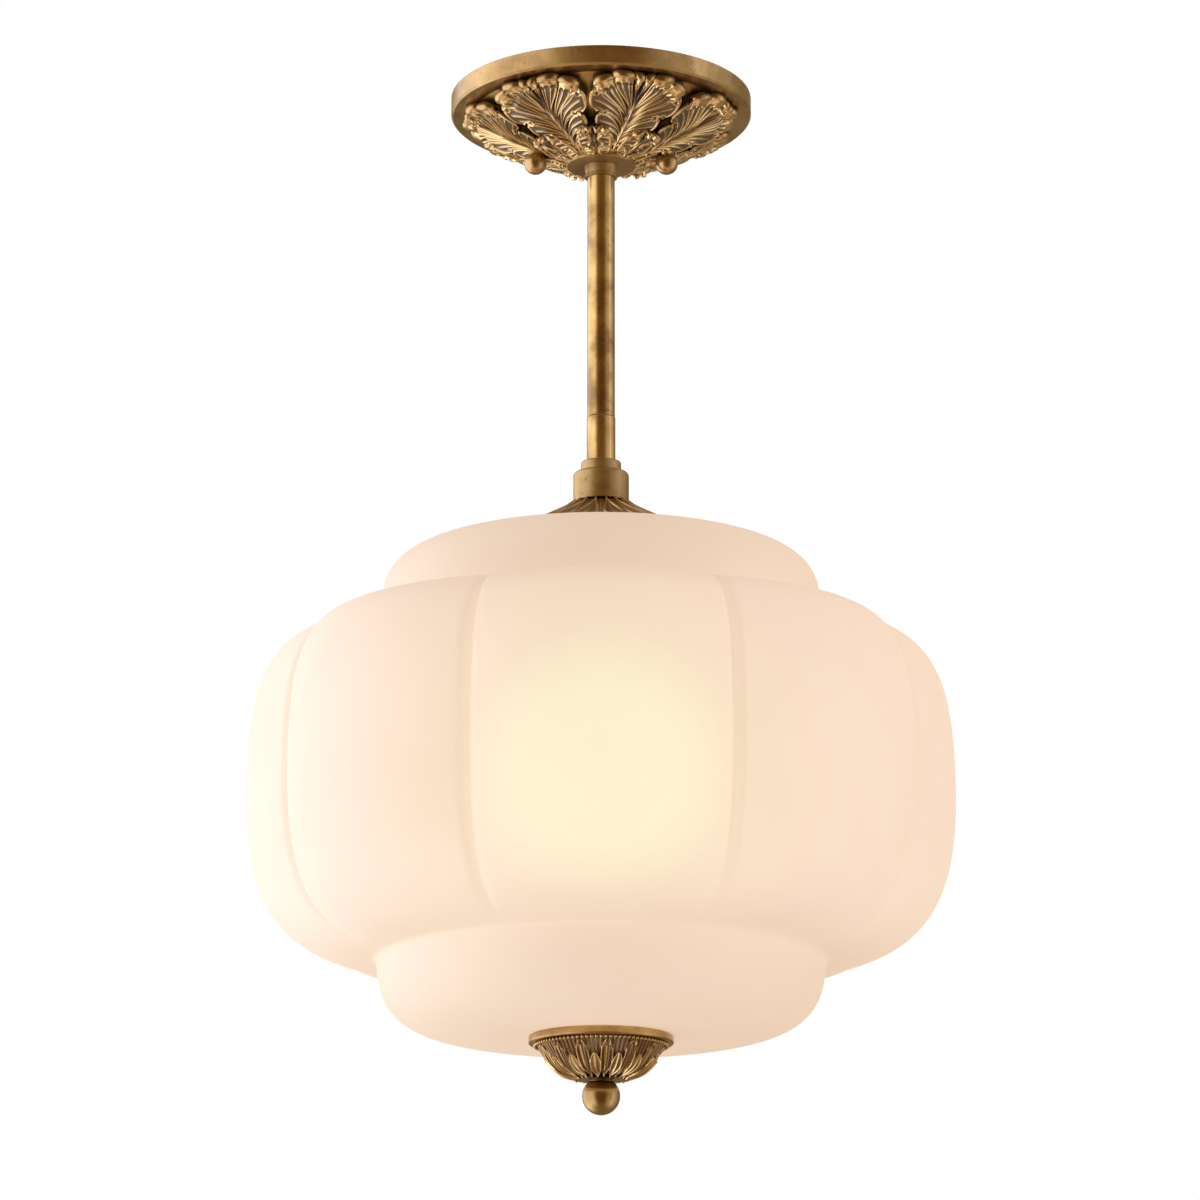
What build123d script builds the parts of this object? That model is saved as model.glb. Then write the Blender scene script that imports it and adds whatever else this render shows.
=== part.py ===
from build123d import *
import os
from math import cos, pi, radians, sin, sqrt

os.makedirs("parts", exist_ok=True)

# Clearances
fit = 0.05
seat_gap = 0.3

# Canopy plate, a spun dish whose rim lies on the ceiling
canopy_radius = 69.85
canopy_rim = 9.0
canopy_wall = 1.2
canopy_edge = 1.0
ledge_radius = 60.5
hub_radius = 16.5
dome_rise = 18.5
dome_sag = 1.0
boss_radius = 5.0
boss_drop = 22.6

# Crossbar and the two studs that carry the canopy
bar_length = 112.0
bar_width = 19.0
bar_thick = 2.0
bar_corner = 4.75
stud_spacing = 61.0
stud_radius = 2.0
stud_end = 33.0
stud_chamfer = 0.5
slot_spacing = 88.9
slot_travel = 9.0
slot_width = 5.0
nut_flats = 7.0
nut_height = 3.0
earth_radius = 2.0
earth_head = 3.6
earth_height = 2.2
earth_round = 0.7
earth_x = 16.0
earth_y = 5.0

# Ball knobs
knob_radius = 5.3
knob_centre = 31.2
knob_flat = 27.2
knob_depth = 6.4
neck_top_radius = 4.2
neck_low_radius = 3.2

# Threaded pipe shared by the whole stack
pipe_radius = 5.0
pipe_bore = 3.5
pipe_reach = 12.0
pipe_nut_flats = 14.0
pipe_nut_height = 3.5
washer_radius = 9.0
washer_height = 1.2
pipe_top = 16.0

# Leaf rosette
rosette_height = 3.5
rosette_radius = 15.6
leaf_count = 7
leaf_turn = 18.8
leaf_root = 13.0
leaf_shoulder = 55.0
leaf_tip = 64.5
leaf_root_half = 4.2
leaf_half = 21.0
leaf_tip_half = 6.5
leaf_corner = 61.0
leaf_corner_half = 15.0
leaf_side_lobes = 6
leaf_lobe_bulge = 1.4
leaf_blade = 1.8
leaf_root_arch = 0.3
leaf_arch = 3.4
leaf_slope_ratio = 0.36
leaf_stations = 7
leaf_margin = 3.0
rib_radius = 1.1
lip_radius = 1.9
lip_half = 6.5
lip_back = 1.6
lip_turn = 30
knob_hole = 5.6

# Hub disc, collar and stem
disc_radius = 16.1
disc_height = 2.0
disc_round = 0.5
collar_radius = 7.95
collar_waist = 7.1
collar_lip = 7.5
collar_lip_height = 1.2
collar_height = 5.5
stem_radius = 6.35
stem_length = 116.2
sleeve_radius = 6.55
sleeve_length = 13.0
coupling_length = 8.3

# Neck pieces
ring_radius = 9.15
ring_height = 5.2
ring_round = 0.8
cup_radius = 12.7
cup_height = 14.3
cup_round = 1.6

# Leaf cap above the glass
cap_radius = 43.4
cap_wall = 1.4
cap_shoulder = 37.0
cap_shoulder_fall = 11.8
cap_skirt_fall = 16.5
cap_height = 25.7
cap_bow = 1.0

# Glass shade
gasket_height = 1.6
gasket_inner = 37.6
glass_wall = 4.2
glass_hole = 37.0
tier_radius = 98.9
tier_corner = 17.3
tier_height = 33.5
shoulder_reach = 45.8
shoulder_fall = 65.0
equator_fall = 73.9
lobe_count = 8
lobe_crest = 158.8
lobe_arc = 84.0
arc_steps = 4
groove_steps = 4
glass_lap = 3.0
groove_depth = 4.3
groove_half_width = 4.4
belly_height = 76.3
belly_fall = 44.2
belly_reach = 48.3
foot_radius = 99.6
foot_fall = 28.9
foot_reach = 48.0
foot_sag = 3.6
foot_height = 33.3
seat_radius = 34.0
low_hole = 6.0

# Bottom cup
pad_height = 1.2
pad_inner = 12.0
cup_ring_radius = 32.2
cup_ring_inner = 22.0
cup_ring_wall = 3.0
cup_ring_height = 3.6
cup_ring_edge = 0.8
bowl_rim = 29.4
bowl_shoulder = 27.4
bowl_shoulder_fall = 3.3
bowl_waist = 19.9
bowl_waist_fall = 12.0
bowl_low = 11.0
bowl_height = 16.0
bowl_wall = 1.5

# Finial
finial_radius = 8.4
finial_centre_fall = 7.0
finial_washer_radius = 5.0
finial_washer_height = 0.8
finial_depth = 5.6

# Yoke that carries the glass from below
yoke_half = 35.0
yoke_thick = 2.0
yoke_width = 10.0
yoke_bend = 6.0
yoke_drop = 13.5
yoke_height = 217.0
yoke_stud_radius = 3.0
yoke_stud_above = 7.0
yoke_stud_engage = 4.8
yoke_stud_chamfer = 0.6
yoke_nut_flats = 10.0
yoke_nut_height = 3.0

# Lampholder
socket_radius = 17.5
socket_wall = 0.9
socket_hub = 8.0
socket_hub_height = 6.0
socket_dome_height = 9.0
socket_length = 36.0
socket_bead = 1.0
insulator_recess = 6.0
insulator_floor = 5.0
insulator_lip = 1.0
shell_wall = 0.5
shell_recess = 2.0
tab_radius = 3.0
tab_height = 2.5
tab_round = 0.8
terminal_place = 10.0
terminal_radius = 2.2
terminal_height = 2.0

# Bulb
base_radius = 13.2
base_wall = 0.4
base_length = 22.5
base_step = 3.5
contact_radius = 3.2
contact_height = 1.2
contact_round = 0.6
bulb_stem = 4.0
bulb_radius = 30.0
bulb_neck_length = 49.5
bulb_wall = 1.0

# Wires
wire_radius = 1.1
wire_offset = 1.6
wire_level = 9.0
wire_reach = 26.0
wire_bend = 7.0
wire_turn = 4.0
wire_screw_bend = 3.6
wire_neck_bend = 8.0
wire_dip = 4.0
connector_radius = 4.4
connector_tip = 3.0
connector_length = 17.0
connector_grip = 9.0

# Levels down the stack, all below the ceiling
hub_level = canopy_rim + dome_rise
rosette_low = hub_level + rosette_height
disc_low = rosette_low + disc_height
collar_low = disc_low + collar_height
stem_low = collar_low + stem_length
sleeve_top = stem_low + coupling_length
sleeve_low = sleeve_top + sleeve_length
ring_low = sleeve_low + ring_height
cup_low = ring_low + cup_height
cap_low = cup_low + cap_height
glass_top = cap_low + gasket_height
shoulder_level = glass_top + tier_height
equator = shoulder_level + equator_fall
foot_level = equator + belly_height
seat_level = foot_level + foot_height
pad_low = seat_level + pad_height
cup_ring_top = seat_level + seat_gap
cup_ring_low = cup_ring_top + cup_ring_height
bowl_low_level = cup_ring_low + bowl_height
finial_top = bowl_low_level + finial_washer_height
finial_centre = bowl_low_level + finial_centre_fall
yoke_top = cup_low + yoke_drop
yoke_low = yoke_top + yoke_height
socket_top = yoke_top + yoke_thick
socket_dome_top = socket_top + socket_hub_height
socket_dome_low = socket_dome_top + socket_dome_height
socket_mouth = socket_dome_low + socket_length
insulator_top = socket_dome_low + insulator_recess
insulator_low = insulator_top + insulator_floor
tab_low = insulator_low + tab_height
contact_top = tab_low + seat_gap
contact_low = contact_top + contact_height
base_top = contact_low + base_step
base_low = base_top + base_length
bulb_centre = base_low + bulb_neck_length

# Sizes that follow from the ones above
stud_x = stud_spacing / 2
pipe_hole = pipe_radius + fit
stud_hole = stud_radius + fit
yoke_stud_hole = yoke_stud_radius + fit
shell_outer = base_radius + fit + shell_wall
base_inner = base_radius - base_wall
insulator_bore = shell_outer + fit
insulator_outer = socket_radius - socket_wall - fit
pad_outer = cup_ring_radius - cup_ring_wall - seat_gap
half_lobe = 180 / lobe_count
groove_angle = groove_half_width / lobe_crest * 180 / pi
wire_radii = (wire_screw_bend, wire_neck_bend, wire_bend)


def tube(outer, inner, top, low):
    """A round piece with a round bore between two levels."""
    with BuildSketch(Plane.XY.offset(-top)) as profile:
        Circle(outer)
        Circle(inner, mode=Mode.SUBTRACT)
    extrude(profile.sketch, amount=top - low)


def slab(radius, top, low):
    """A solid round piece between two levels."""
    with BuildSketch(Plane.XY.offset(-top)) as profile:
        Circle(radius)
    extrude(profile.sketch, amount=top - low)


def nut(flats, bore, top, low, *places):
    """Hexagon nuts of one size between two levels."""
    with BuildSketch(Plane.XY.offset(-top)) as profile:
        with Locations(*places):
            RegularPolygon(flats / 2, 6, major_radius=False)
            Circle(bore, mode=Mode.SUBTRACT)
    extrude(profile.sketch, amount=top - low)


def drill(radius, top, low, *places):
    """Round holes between two levels."""
    with BuildSketch(Plane.XY.offset(-top)) as profile:
        with Locations(*places):
            Circle(radius)
    extrude(profile.sketch, amount=top - low, mode=Mode.SUBTRACT)


def at_rim(edge):
    """Picks the outermost edges of the cup ring."""
    return edge.radius > cup_ring_radius - fit


def finish(builder, name):
    """Names a finished piece and writes it."""
    builder.part.label = name
    export_step(builder.part, f"parts/{name}.step")


# Canopy plate
dome_middle = ((ledge_radius + hub_radius) / 2, -(canopy_rim + hub_level) / 2 - dome_sag)
with BuildPart() as canopy_plate:
    with BuildSketch(Plane.XZ):
        with BuildLine():
            Polyline((0, 0), (canopy_radius, 0), (canopy_radius, canopy_edge - canopy_rim))
            Line((canopy_radius, canopy_edge - canopy_rim), (canopy_radius - canopy_edge, -canopy_rim))
            Line((canopy_radius - canopy_edge, -canopy_rim), (ledge_radius, -canopy_rim))
            Bezier((ledge_radius, -canopy_rim), dome_middle, (hub_radius, -hub_level))
            Polyline((hub_radius, -hub_level), (0, -hub_level), (0, 0))
        make_face()
    revolve(axis=Axis.Z)
    offset(amount=-canopy_wall, openings=canopy_plate.faces().sort_by(Axis.Z)[-1])
    with BuildSketch(Plane.XY.offset(-boss_drop)):
        with Locations((stud_x, 0), (-stud_x, 0)):
            Circle(boss_radius)
    extrude(amount=boss_radius)
    drill(boss_radius + fit, boss_drop, hub_level, (stud_x, 0), (-stud_x, 0))
    drill(pipe_hole, 0, hub_level, (0, 0))
    drill(stud_hole, 0, hub_level, (stud_x, 0), (-stud_x, 0))
finish(canopy_plate, "canopy_plate")

# Crossbar on the ceiling box
with BuildPart() as crossbar:
    with BuildSketch(Plane.XY.offset(-bar_thick)):
        RectangleRounded(bar_length, bar_width, bar_corner)
        with Locations((stud_x, 0), (-stud_x, 0)):
            Circle(stud_hole, mode=Mode.SUBTRACT)
        with Locations((slot_spacing / 2, 0), (-slot_spacing / 2, 0)):
            SlotCenterToCenter(slot_travel, slot_width, mode=Mode.SUBTRACT)
        with Locations((earth_x, earth_y)):
            Circle(earth_radius + fit, mode=Mode.SUBTRACT)
    extrude(amount=bar_thick)
finish(crossbar, "crossbar")

with BuildPart() as canopy_studs:
    with BuildSketch():
        with Locations((stud_x, 0), (-stud_x, 0)):
            Circle(stud_radius)
    extrude(amount=-stud_end)
    chamfer(canopy_studs.edges().group_by(Axis.Z)[0], stud_chamfer)
finish(canopy_studs, "canopy_studs")

with BuildPart() as canopy_stud_nuts:
    nut(nut_flats, stud_hole, bar_thick, bar_thick + nut_height, (stud_x, 0), (-stud_x, 0))
finish(canopy_stud_nuts, "canopy_stud_nuts")

with BuildPart() as ground_screw:
    with Locations((earth_x, earth_y, -bar_thick)):
        Cylinder(earth_radius, bar_thick, align=(Align.CENTER, Align.CENTER, Align.MIN))
        Cylinder(earth_head, earth_height, align=(Align.CENTER, Align.CENTER, Align.MAX))
    fillet(ground_screw.edges().group_by(Axis.Z)[0], earth_round)
finish(ground_screw, "ground_screw")


# Leaf rosette: one acanthus leaf along +X, then seven of them round the hub
def leaf_level(reach):
    """Height of the leaf's middle line at a distance from the axis."""
    return -rosette_low + leaf_slope_ratio * (reach - leaf_root)


def leaf_width(reach):
    """Half the width of the leaf between its lobes."""
    share = (reach - leaf_root) / (leaf_shoulder - leaf_root)
    return leaf_root_half + (leaf_half - leaf_root_half) * share


def blade_section(reach):
    """The arched strip of the blade across the leaf."""
    share = (reach - leaf_root) / (leaf_tip - leaf_root)
    half = leaf_width(reach) + leaf_margin
    low = leaf_level(reach)
    edge = low + leaf_root_arch + leaf_arch * share
    with BuildSketch(Plane(origin=(reach, 0, 0), x_dir=(0, 1, 0), z_dir=(1, 0, 0))) as strip:
        with BuildLine():
            ThreePointArc((-half, edge), (0, low), (half, edge))
            Line((half, edge), (half, edge + leaf_blade))
            ThreePointArc((half, edge + leaf_blade), (0, low + leaf_blade), (-half, edge + leaf_blade))
            Line((-half, edge + leaf_blade), (-half, edge))
        make_face()
    return strip.sketch


def leaf_outline():
    """Notches between the lobes, from the root round the tip and back."""
    step = (leaf_shoulder - leaf_root) / leaf_side_lobes
    side = [(leaf_root + step * i, leaf_width(leaf_root + step * i)) for i in range(leaf_side_lobes + 1)]
    side += [(leaf_corner, leaf_corner_half), (leaf_tip, leaf_tip_half)]
    return side + [(x, -y) for x, y in reversed(side)]


def lip(x, y, turn):
    """A rolled lip, round at both ends, lying along the edge of the leaf."""
    centre = (x, y, leaf_level(x) + leaf_blade / 2)
    along = (-sin(radians(turn)), cos(radians(turn)), 0)
    across = (cos(radians(turn)), sin(radians(turn)), 0)
    reach = lip_half - lip_radius
    with BuildSketch(Plane(origin=centre, x_dir=along, z_dir=across)) as roll:
        with BuildLine():
            RadiusArc((-lip_half, 0), (-reach, lip_radius), lip_radius)
            Line((-reach, lip_radius), (reach, lip_radius))
            RadiusArc((reach, lip_radius), (lip_half, 0), lip_radius)
            Line((lip_half, 0), (-lip_half, 0))
        make_face()
    revolve(roll.sketch, axis=Axis(centre, along))


leaf_reach = leaf_tip + leaf_margin
with BuildPart() as leaf:
    station_step = (leaf_reach - leaf_root) / (leaf_stations - 1)
    loft([blade_section(leaf_root + station_step * i) for i in range(leaf_stations)])
    notches = leaf_outline()
    with BuildSketch():
        with BuildLine():
            for start, end in zip(notches, notches[1:]):
                SagittaArc(start, end, leaf_lobe_bulge)
            Line(notches[-1], notches[0])
        make_face()
    extrude(amount=-rosette_low - leaf_margin, mode=Mode.INTERSECT)
    rib_start = (leaf_root, 0, leaf_level(leaf_root) + rib_radius)
    rib_end = (leaf_corner, 0, leaf_level(leaf_corner))
    with BuildLine() as rib_path:
        Line(rib_start, rib_end)
    with BuildSketch(Plane(origin=rib_start, z_dir=rib_path.line % 0)):
        Circle(rib_radius)
    sweep(path=rib_path.line)
    lip(leaf_tip - lip_back, 0, 0)
    for side in (1, -1):
        lip(leaf_corner - lip_back, side * leaf_corner_half, side * lip_turn)

with BuildPart() as leaf_rosette:
    tube(rosette_radius, pipe_hole, hub_level, rosette_low)
    with PolarLocations(0, leaf_count, start_angle=leaf_turn - 90):
        add(leaf.part)
    drill(pipe_hole, 0, collar_low, (0, 0))
    drill(knob_hole, 0, collar_low, (stud_x, 0), (-stud_x, 0))
finish(leaf_rosette, "leaf_rosette")

with BuildPart() as hub_disc:
    tube(disc_radius, pipe_hole, rosette_low, disc_low)
    fillet(hub_disc.edges().group_by(Axis.Z)[0].sort_by(SortBy.RADIUS)[-1], disc_round)
finish(hub_disc, "hub_disc")

with BuildPart() as stem_collar:
    collar_lip_top = collar_low - collar_lip_height
    with BuildSketch(Plane.XZ):
        with BuildLine():
            Polyline(
                (pipe_hole, -disc_low),
                (collar_radius, -disc_low),
                (collar_waist, -collar_lip_top),
                (collar_lip, -collar_lip_top),
                (collar_lip, -collar_low),
                (pipe_hole, -collar_low),
                close=True,
            )
        make_face()
    revolve(axis=Axis.Z)
finish(stem_collar, "stem_collar")

# Threaded pipes, nuts and the washer that clamp the stack
with BuildPart() as canopy_nipple:
    tube(pipe_radius, pipe_bore, pipe_top, collar_low + pipe_reach)
finish(canopy_nipple, "canopy_nipple")

plate_inside = hub_level - canopy_wall
with BuildPart() as canopy_washer:
    tube(washer_radius, pipe_hole, plate_inside - washer_height, plate_inside)
finish(canopy_washer, "canopy_washer")

nut_low = plate_inside - washer_height
with BuildPart() as canopy_locknut:
    nut(pipe_nut_flats, pipe_hole, nut_low - pipe_nut_height, nut_low, (0, 0))
finish(canopy_locknut, "canopy_locknut")

with BuildPart() as joint_nipple:
    tube(pipe_radius, pipe_bore, stem_low - pipe_reach, stem_low + pipe_reach)
finish(joint_nipple, "joint_nipple")

lamp_pipe_top = sleeve_low - coupling_length
with BuildPart() as lamp_nipple:
    tube(pipe_radius, pipe_bore, lamp_pipe_top, socket_dome_top)
finish(lamp_nipple, "lamp_nipple")

with BuildPart() as lamp_nuts:
    cap_inside = cup_low + cap_wall
    nut(pipe_nut_flats, pipe_hole, cap_inside, cap_inside + pipe_nut_height, (0, 0))
    nut(pipe_nut_flats, pipe_hole, yoke_top - pipe_nut_height, yoke_top, (0, 0))
finish(lamp_nuts, "lamp_nuts")

# Stem tubes and the turned neck
with BuildPart() as stem_upper:
    tube(stem_radius, pipe_hole, collar_low, stem_low)
finish(stem_upper, "stem_upper")

with BuildPart() as stem_lower:
    tube(stem_radius, pipe_hole, stem_low, sleeve_top)
    tube(sleeve_radius, pipe_hole, sleeve_top, sleeve_low)
finish(stem_lower, "stem_lower")

with BuildPart() as neck_ring:
    tube(ring_radius, pipe_hole, sleeve_low, ring_low)
    fillet(neck_ring.edges().filter_by(GeomType.CIRCLE).sort_by(SortBy.RADIUS)[-2:], ring_round)
finish(neck_ring, "neck_ring")

with BuildPart() as neck_cup:
    tube(cup_radius, pipe_hole, ring_low, cup_low)
    fillet(neck_cup.edges().group_by(Axis.Z)[-1].sort_by(SortBy.RADIUS)[-1], cup_round)
finish(neck_cup, "neck_cup")


# Leaf cap over the glass
def cap_profile(inset):
    """Outer or inner meridian of the cap, from the neck to the skirt's foot."""
    shoulder = (cap_shoulder - inset / 2, -cup_low - cap_shoulder_fall - inset)
    corner = (cap_radius - inset, -cup_low - cap_skirt_fall - inset / 2)
    bow = ((cup_radius + cap_shoulder) / 2, -cup_low - cap_shoulder_fall / 2 + cap_bow - inset)
    return [(cup_radius, -cup_low - inset), bow, shoulder, corner, (cap_radius - inset, -cap_low)]


with BuildPart() as shade_cap:
    outer = cap_profile(0)
    inner = cap_profile(cap_wall)
    with BuildSketch(Plane.XZ):
        with BuildLine():
            Bezier(outer[0], outer[1], outer[2])
            Polyline(outer[2], outer[3], outer[4], inner[4], inner[3], inner[2])
            Bezier(inner[2], inner[1], inner[0])
            Polyline(inner[0], (pipe_hole, inner[0][1]), (pipe_hole, outer[0][1]), outer[0])
        make_face()
    revolve(axis=Axis.Z)
finish(shade_cap, "shade_cap")

with BuildPart() as top_gasket:
    tube(cap_radius, gasket_inner, cap_low, glass_top)
finish(top_gasket, "top_gasket")


# Glass shade: two round tiers and a body of melon lobes between them
def lobe_radius(angle):
    """Radius of the body at its widest level, at an angle from a lobe's middle."""
    turn = radians(min(abs(angle), half_lobe - groove_angle))
    offset = lobe_crest - lobe_arc
    arc = offset * cos(turn) + sqrt(lobe_arc**2 - (offset * sin(turn)) ** 2)
    into = max(0, abs(angle) - half_lobe + groove_angle) / groove_angle
    return arc - groove_depth * (1 - cos(pi * into)) / 2


def meridian(radius, wall):
    """Points of the body's upper and lower curves, on its outer face or a wall further in."""
    shoulder = tier_radius - glass_lap
    foot = foot_radius - glass_lap
    grow = (radius - tier_radius) / (lobe_crest - tier_radius)
    upper = [
        (shoulder, -shoulder_level - wall),
        (tier_radius + shoulder_reach * grow - wall, -shoulder_level - wall),
        (radius - wall, -equator + shoulder_fall - wall),
        (radius - wall, -equator),
    ]
    lower = [
        (radius - wall, -equator),
        (radius - wall, -equator - belly_fall),
        (foot_radius + belly_reach * grow - wall, -foot_level + wall),
        (foot, -foot_level + wall),
    ]
    return upper, lower


def lobe_section(angle):
    """The wall of the body cut by a plane through the axis."""
    turn = radians(angle)
    upper, lower = meridian(lobe_radius(angle), 0)
    inner_upper, inner_lower = meridian(lobe_radius(angle), glass_wall)
    plane = Plane(origin=(0, 0, 0), x_dir=(cos(turn), sin(turn), 0), z_dir=(sin(turn), -cos(turn), 0))
    with BuildSketch(plane) as wall:
        with BuildLine():
            Bezier(*upper)
            Bezier(*lower)
            Line(lower[-1], inner_lower[-1])
            Bezier(*reversed(inner_lower))
            Bezier(*reversed(inner_upper))
            Line(inner_upper[0], upper[0])
        make_face()
    return wall.sketch


plain_angle = half_lobe - groove_angle
lobe_angles = [plain_angle * i / arc_steps for i in range(arc_steps)]
lobe_angles += [plain_angle + groove_angle * i / groove_steps for i in range(groove_steps + 1)]
lobe_angles = [-angle for angle in reversed(lobe_angles[1:])] + lobe_angles
with BuildPart() as glass_lobe:
    loft([lobe_section(angle) for angle in lobe_angles])

half_wall = glass_wall / 2


def foot_meridian(wall):
    """Start and curve of the lower tier, on its outer face or a wall further in."""
    radius = foot_radius - wall
    curve = [
        (radius, -foot_level),
        (radius, -foot_level - foot_fall + half_wall * wall / glass_wall),
        (seat_radius + foot_reach - wall / 2, -seat_level - foot_sag + wall),
        (seat_radius, -seat_level + wall),
    ]
    return (radius, -foot_level + half_wall), curve


with BuildPart() as shade_glass:
    with BuildSketch(Plane.XZ):
        with BuildLine():
            top_corner = (tier_radius - tier_corner, -glass_top)
            side_top = (tier_radius, -glass_top - tier_corner)
            side_low = (tier_radius, -shoulder_level - half_wall)
            Line((glass_hole, -glass_top), top_corner)
            RadiusArc(top_corner, side_top, tier_corner)
            Line(side_top, side_low)
            offset(amount=-glass_wall, side=Side.RIGHT)
        make_face()
    revolve(axis=Axis.Z)
    with BuildSketch(Plane.XZ):
        with BuildLine():
            start, outer_curve = foot_meridian(0)
            inner_start, inner_curve = foot_meridian(glass_wall)
            Line(start, outer_curve[0])
            Bezier(*outer_curve)
            low_edge = (low_hole, outer_curve[-1][1])
            inner_edge = (low_hole, inner_curve[-1][1])
            Polyline(outer_curve[-1], low_edge, inner_edge, inner_curve[-1])
            Bezier(*reversed(inner_curve))
            Polyline(inner_curve[0], inner_start, start)
        make_face()
    revolve(axis=Axis.Z)
    with PolarLocations(0, lobe_count):
        add(glass_lobe.part)
finish(shade_glass, "shade_glass")

# Bottom cup under the glass
with BuildPart() as bottom_pad:
    tube(pad_outer, pad_inner, seat_level, pad_low)
finish(bottom_pad, "bottom_pad")

with BuildPart() as cup_ring:
    tube(cup_ring_radius, cup_ring_radius - cup_ring_wall, cup_ring_top, pad_low)
    tube(cup_ring_radius, cup_ring_inner, pad_low, cup_ring_low)
    fillet(cup_ring.edges().filter_by(GeomType.CIRCLE).filter_by(at_rim), cup_ring_edge)
finish(cup_ring, "cup_ring")


def bowl_profile(inset):
    """Meridian of the leaf cup, from its rim to its floor."""
    shoulder = (bowl_shoulder - inset, -cup_ring_low - bowl_shoulder_fall)
    waist = (bowl_waist - inset, -cup_ring_low - bowl_waist_fall + inset)
    return [(bowl_rim - inset, -cup_ring_low), shoulder, waist, (bowl_low, -bowl_low_level + inset)]


with BuildPart() as leaf_cup:
    outer = bowl_profile(0)
    inner = bowl_profile(bowl_wall)
    with BuildSketch(Plane.XZ):
        with BuildLine():
            Spline(*outer)
            floor = [(yoke_stud_hole, outer[-1][1]), (yoke_stud_hole, inner[-1][1])]
            Polyline(outer[-1], *floor, inner[-1])
            Spline(*reversed(inner))
            Line(inner[0], outer[0])
        make_face()
    revolve(axis=Axis.Z)
finish(leaf_cup, "leaf_cup")

with BuildPart() as finial_washer:
    tube(finial_washer_radius, yoke_stud_hole, bowl_low_level, finial_top)
finish(finial_washer, "finial_washer")


def ball(radius, centre, flat, bore, depth, x):
    """A ball knob with a flat seat on top and a blind threaded bore."""
    with Locations((x, 0, -centre)):
        Sphere(radius)
    with BuildSketch(Plane.XY.offset(-flat)) as cut:
        with Locations((x, 0)):
            Circle(radius)
    extrude(cut.sketch, amount=radius, mode=Mode.SUBTRACT)
    drill(bore, flat, flat + depth, (x, 0))


with BuildPart() as finial_ball:
    ball(finial_radius, finial_centre, finial_top, yoke_stud_hole, finial_depth, 0)
finish(finial_ball, "finial_ball")

# Ball knobs under the canopy, each with the neck it bears on
for side, name in ((-1, "left"), (1, "right")):
    with BuildPart() as knob_neck:
        with BuildSketch(Plane.XY.offset(-boss_drop)):
            with Locations((side * stud_x, 0)):
                Circle(neck_top_radius)
        with BuildSketch(Plane.XY.offset(-knob_flat)):
            with Locations((side * stud_x, 0)):
                Circle(neck_low_radius)
        loft()
        drill(stud_hole, boss_drop, knob_flat, (side * stud_x, 0))
    finish(knob_neck, f"knob_neck_{name}")
    with BuildPart() as knob_ball:
        ball(knob_radius, knob_centre, knob_flat, stud_hole, knob_depth, side * stud_x)
    finish(knob_ball, f"knob_ball_{name}")

# Yoke, a strap bent round the lamp, with the stud that takes the finial
with BuildPart() as yoke:
    with BuildSketch(Plane.XZ.offset(-yoke_width / 2)):
        with Locations((0, -(yoke_top + yoke_low) / 2)):
            RectangleRounded(2 * yoke_half, yoke_height, yoke_bend)
            RectangleRounded(
                2 * (yoke_half - yoke_thick),
                yoke_height - 2 * yoke_thick,
                yoke_bend - yoke_thick,
                mode=Mode.SUBTRACT,
            )
    extrude(amount=yoke_width)
    drill(pipe_hole, yoke_top, socket_top, (0, 0))
    drill(yoke_stud_hole, yoke_low - yoke_thick, yoke_low, (0, 0))
finish(yoke, "yoke")

with BuildPart() as yoke_stud:
    slab(yoke_stud_radius, yoke_low - yoke_stud_above, finial_top + yoke_stud_engage)
    chamfer(yoke_stud.edges().filter_by(GeomType.CIRCLE), yoke_stud_chamfer)
finish(yoke_stud, "yoke_stud")

with BuildPart() as yoke_stud_nuts:
    bar_top = yoke_low - yoke_thick
    nut(yoke_nut_flats, yoke_stud_hole, bar_top - yoke_nut_height, bar_top, (0, 0))
    nut(yoke_nut_flats, yoke_stud_hole, yoke_low, yoke_low + yoke_nut_height, (0, 0))
finish(yoke_stud_nuts, "yoke_stud_nuts")

# Lampholder
with BuildPart() as socket_cap:
    with BuildSketch(Plane.XZ):
        with BuildLine():
            crown = (socket_radius, -socket_dome_top)
            crown_in = (socket_radius - socket_wall, -socket_dome_top - socket_wall)
            hub_in = socket_hub - socket_wall
            Polyline((pipe_hole, -socket_top), (socket_hub, -socket_top), (socket_hub, -socket_dome_top))
            Bezier((socket_hub, -socket_dome_top), crown, (socket_radius, -socket_dome_low))
            Line((socket_radius, -socket_dome_low), (socket_radius - socket_wall, -socket_dome_low))
            Bezier((socket_radius - socket_wall, -socket_dome_low), crown_in, (hub_in, crown_in[1]))
            Polyline((hub_in, crown_in[1]), (pipe_hole, crown_in[1]), (pipe_hole, -socket_top))
        make_face()
    revolve(axis=Axis.Z)
finish(socket_cap, "socket_cap")

with BuildPart() as socket_shell:
    tube(socket_radius, socket_radius - socket_wall, socket_dome_low, socket_mouth)
    bead_top = socket_mouth - 2 * socket_bead
    tube(socket_radius + socket_bead, socket_radius - socket_wall, bead_top, socket_mouth)
finish(socket_shell, "socket_shell")

terminals = ((terminal_place, 0), (-terminal_place, 0))
with BuildPart() as socket_insulator:
    slab(insulator_outer, insulator_top, insulator_low)
    tube(insulator_outer, insulator_bore, insulator_low, socket_mouth - insulator_lip)
finish(socket_insulator, "socket_insulator")

with BuildPart() as screw_shell:
    tube(shell_outer, base_radius + fit, insulator_low, socket_mouth - shell_recess)
finish(screw_shell, "screw_shell")

with BuildPart() as contact_tab:
    slab(tab_radius, insulator_low, tab_low)
    fillet(contact_tab.edges().group_by(Axis.Z)[0], tab_round)
finish(contact_tab, "contact_tab")

with BuildPart() as terminal_screws:
    with BuildSketch(Plane.XY.offset(-insulator_top)):
        with Locations(*terminals):
            Circle(terminal_radius)
    extrude(amount=terminal_height)
finish(terminal_screws, "terminal_screws")

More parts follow.
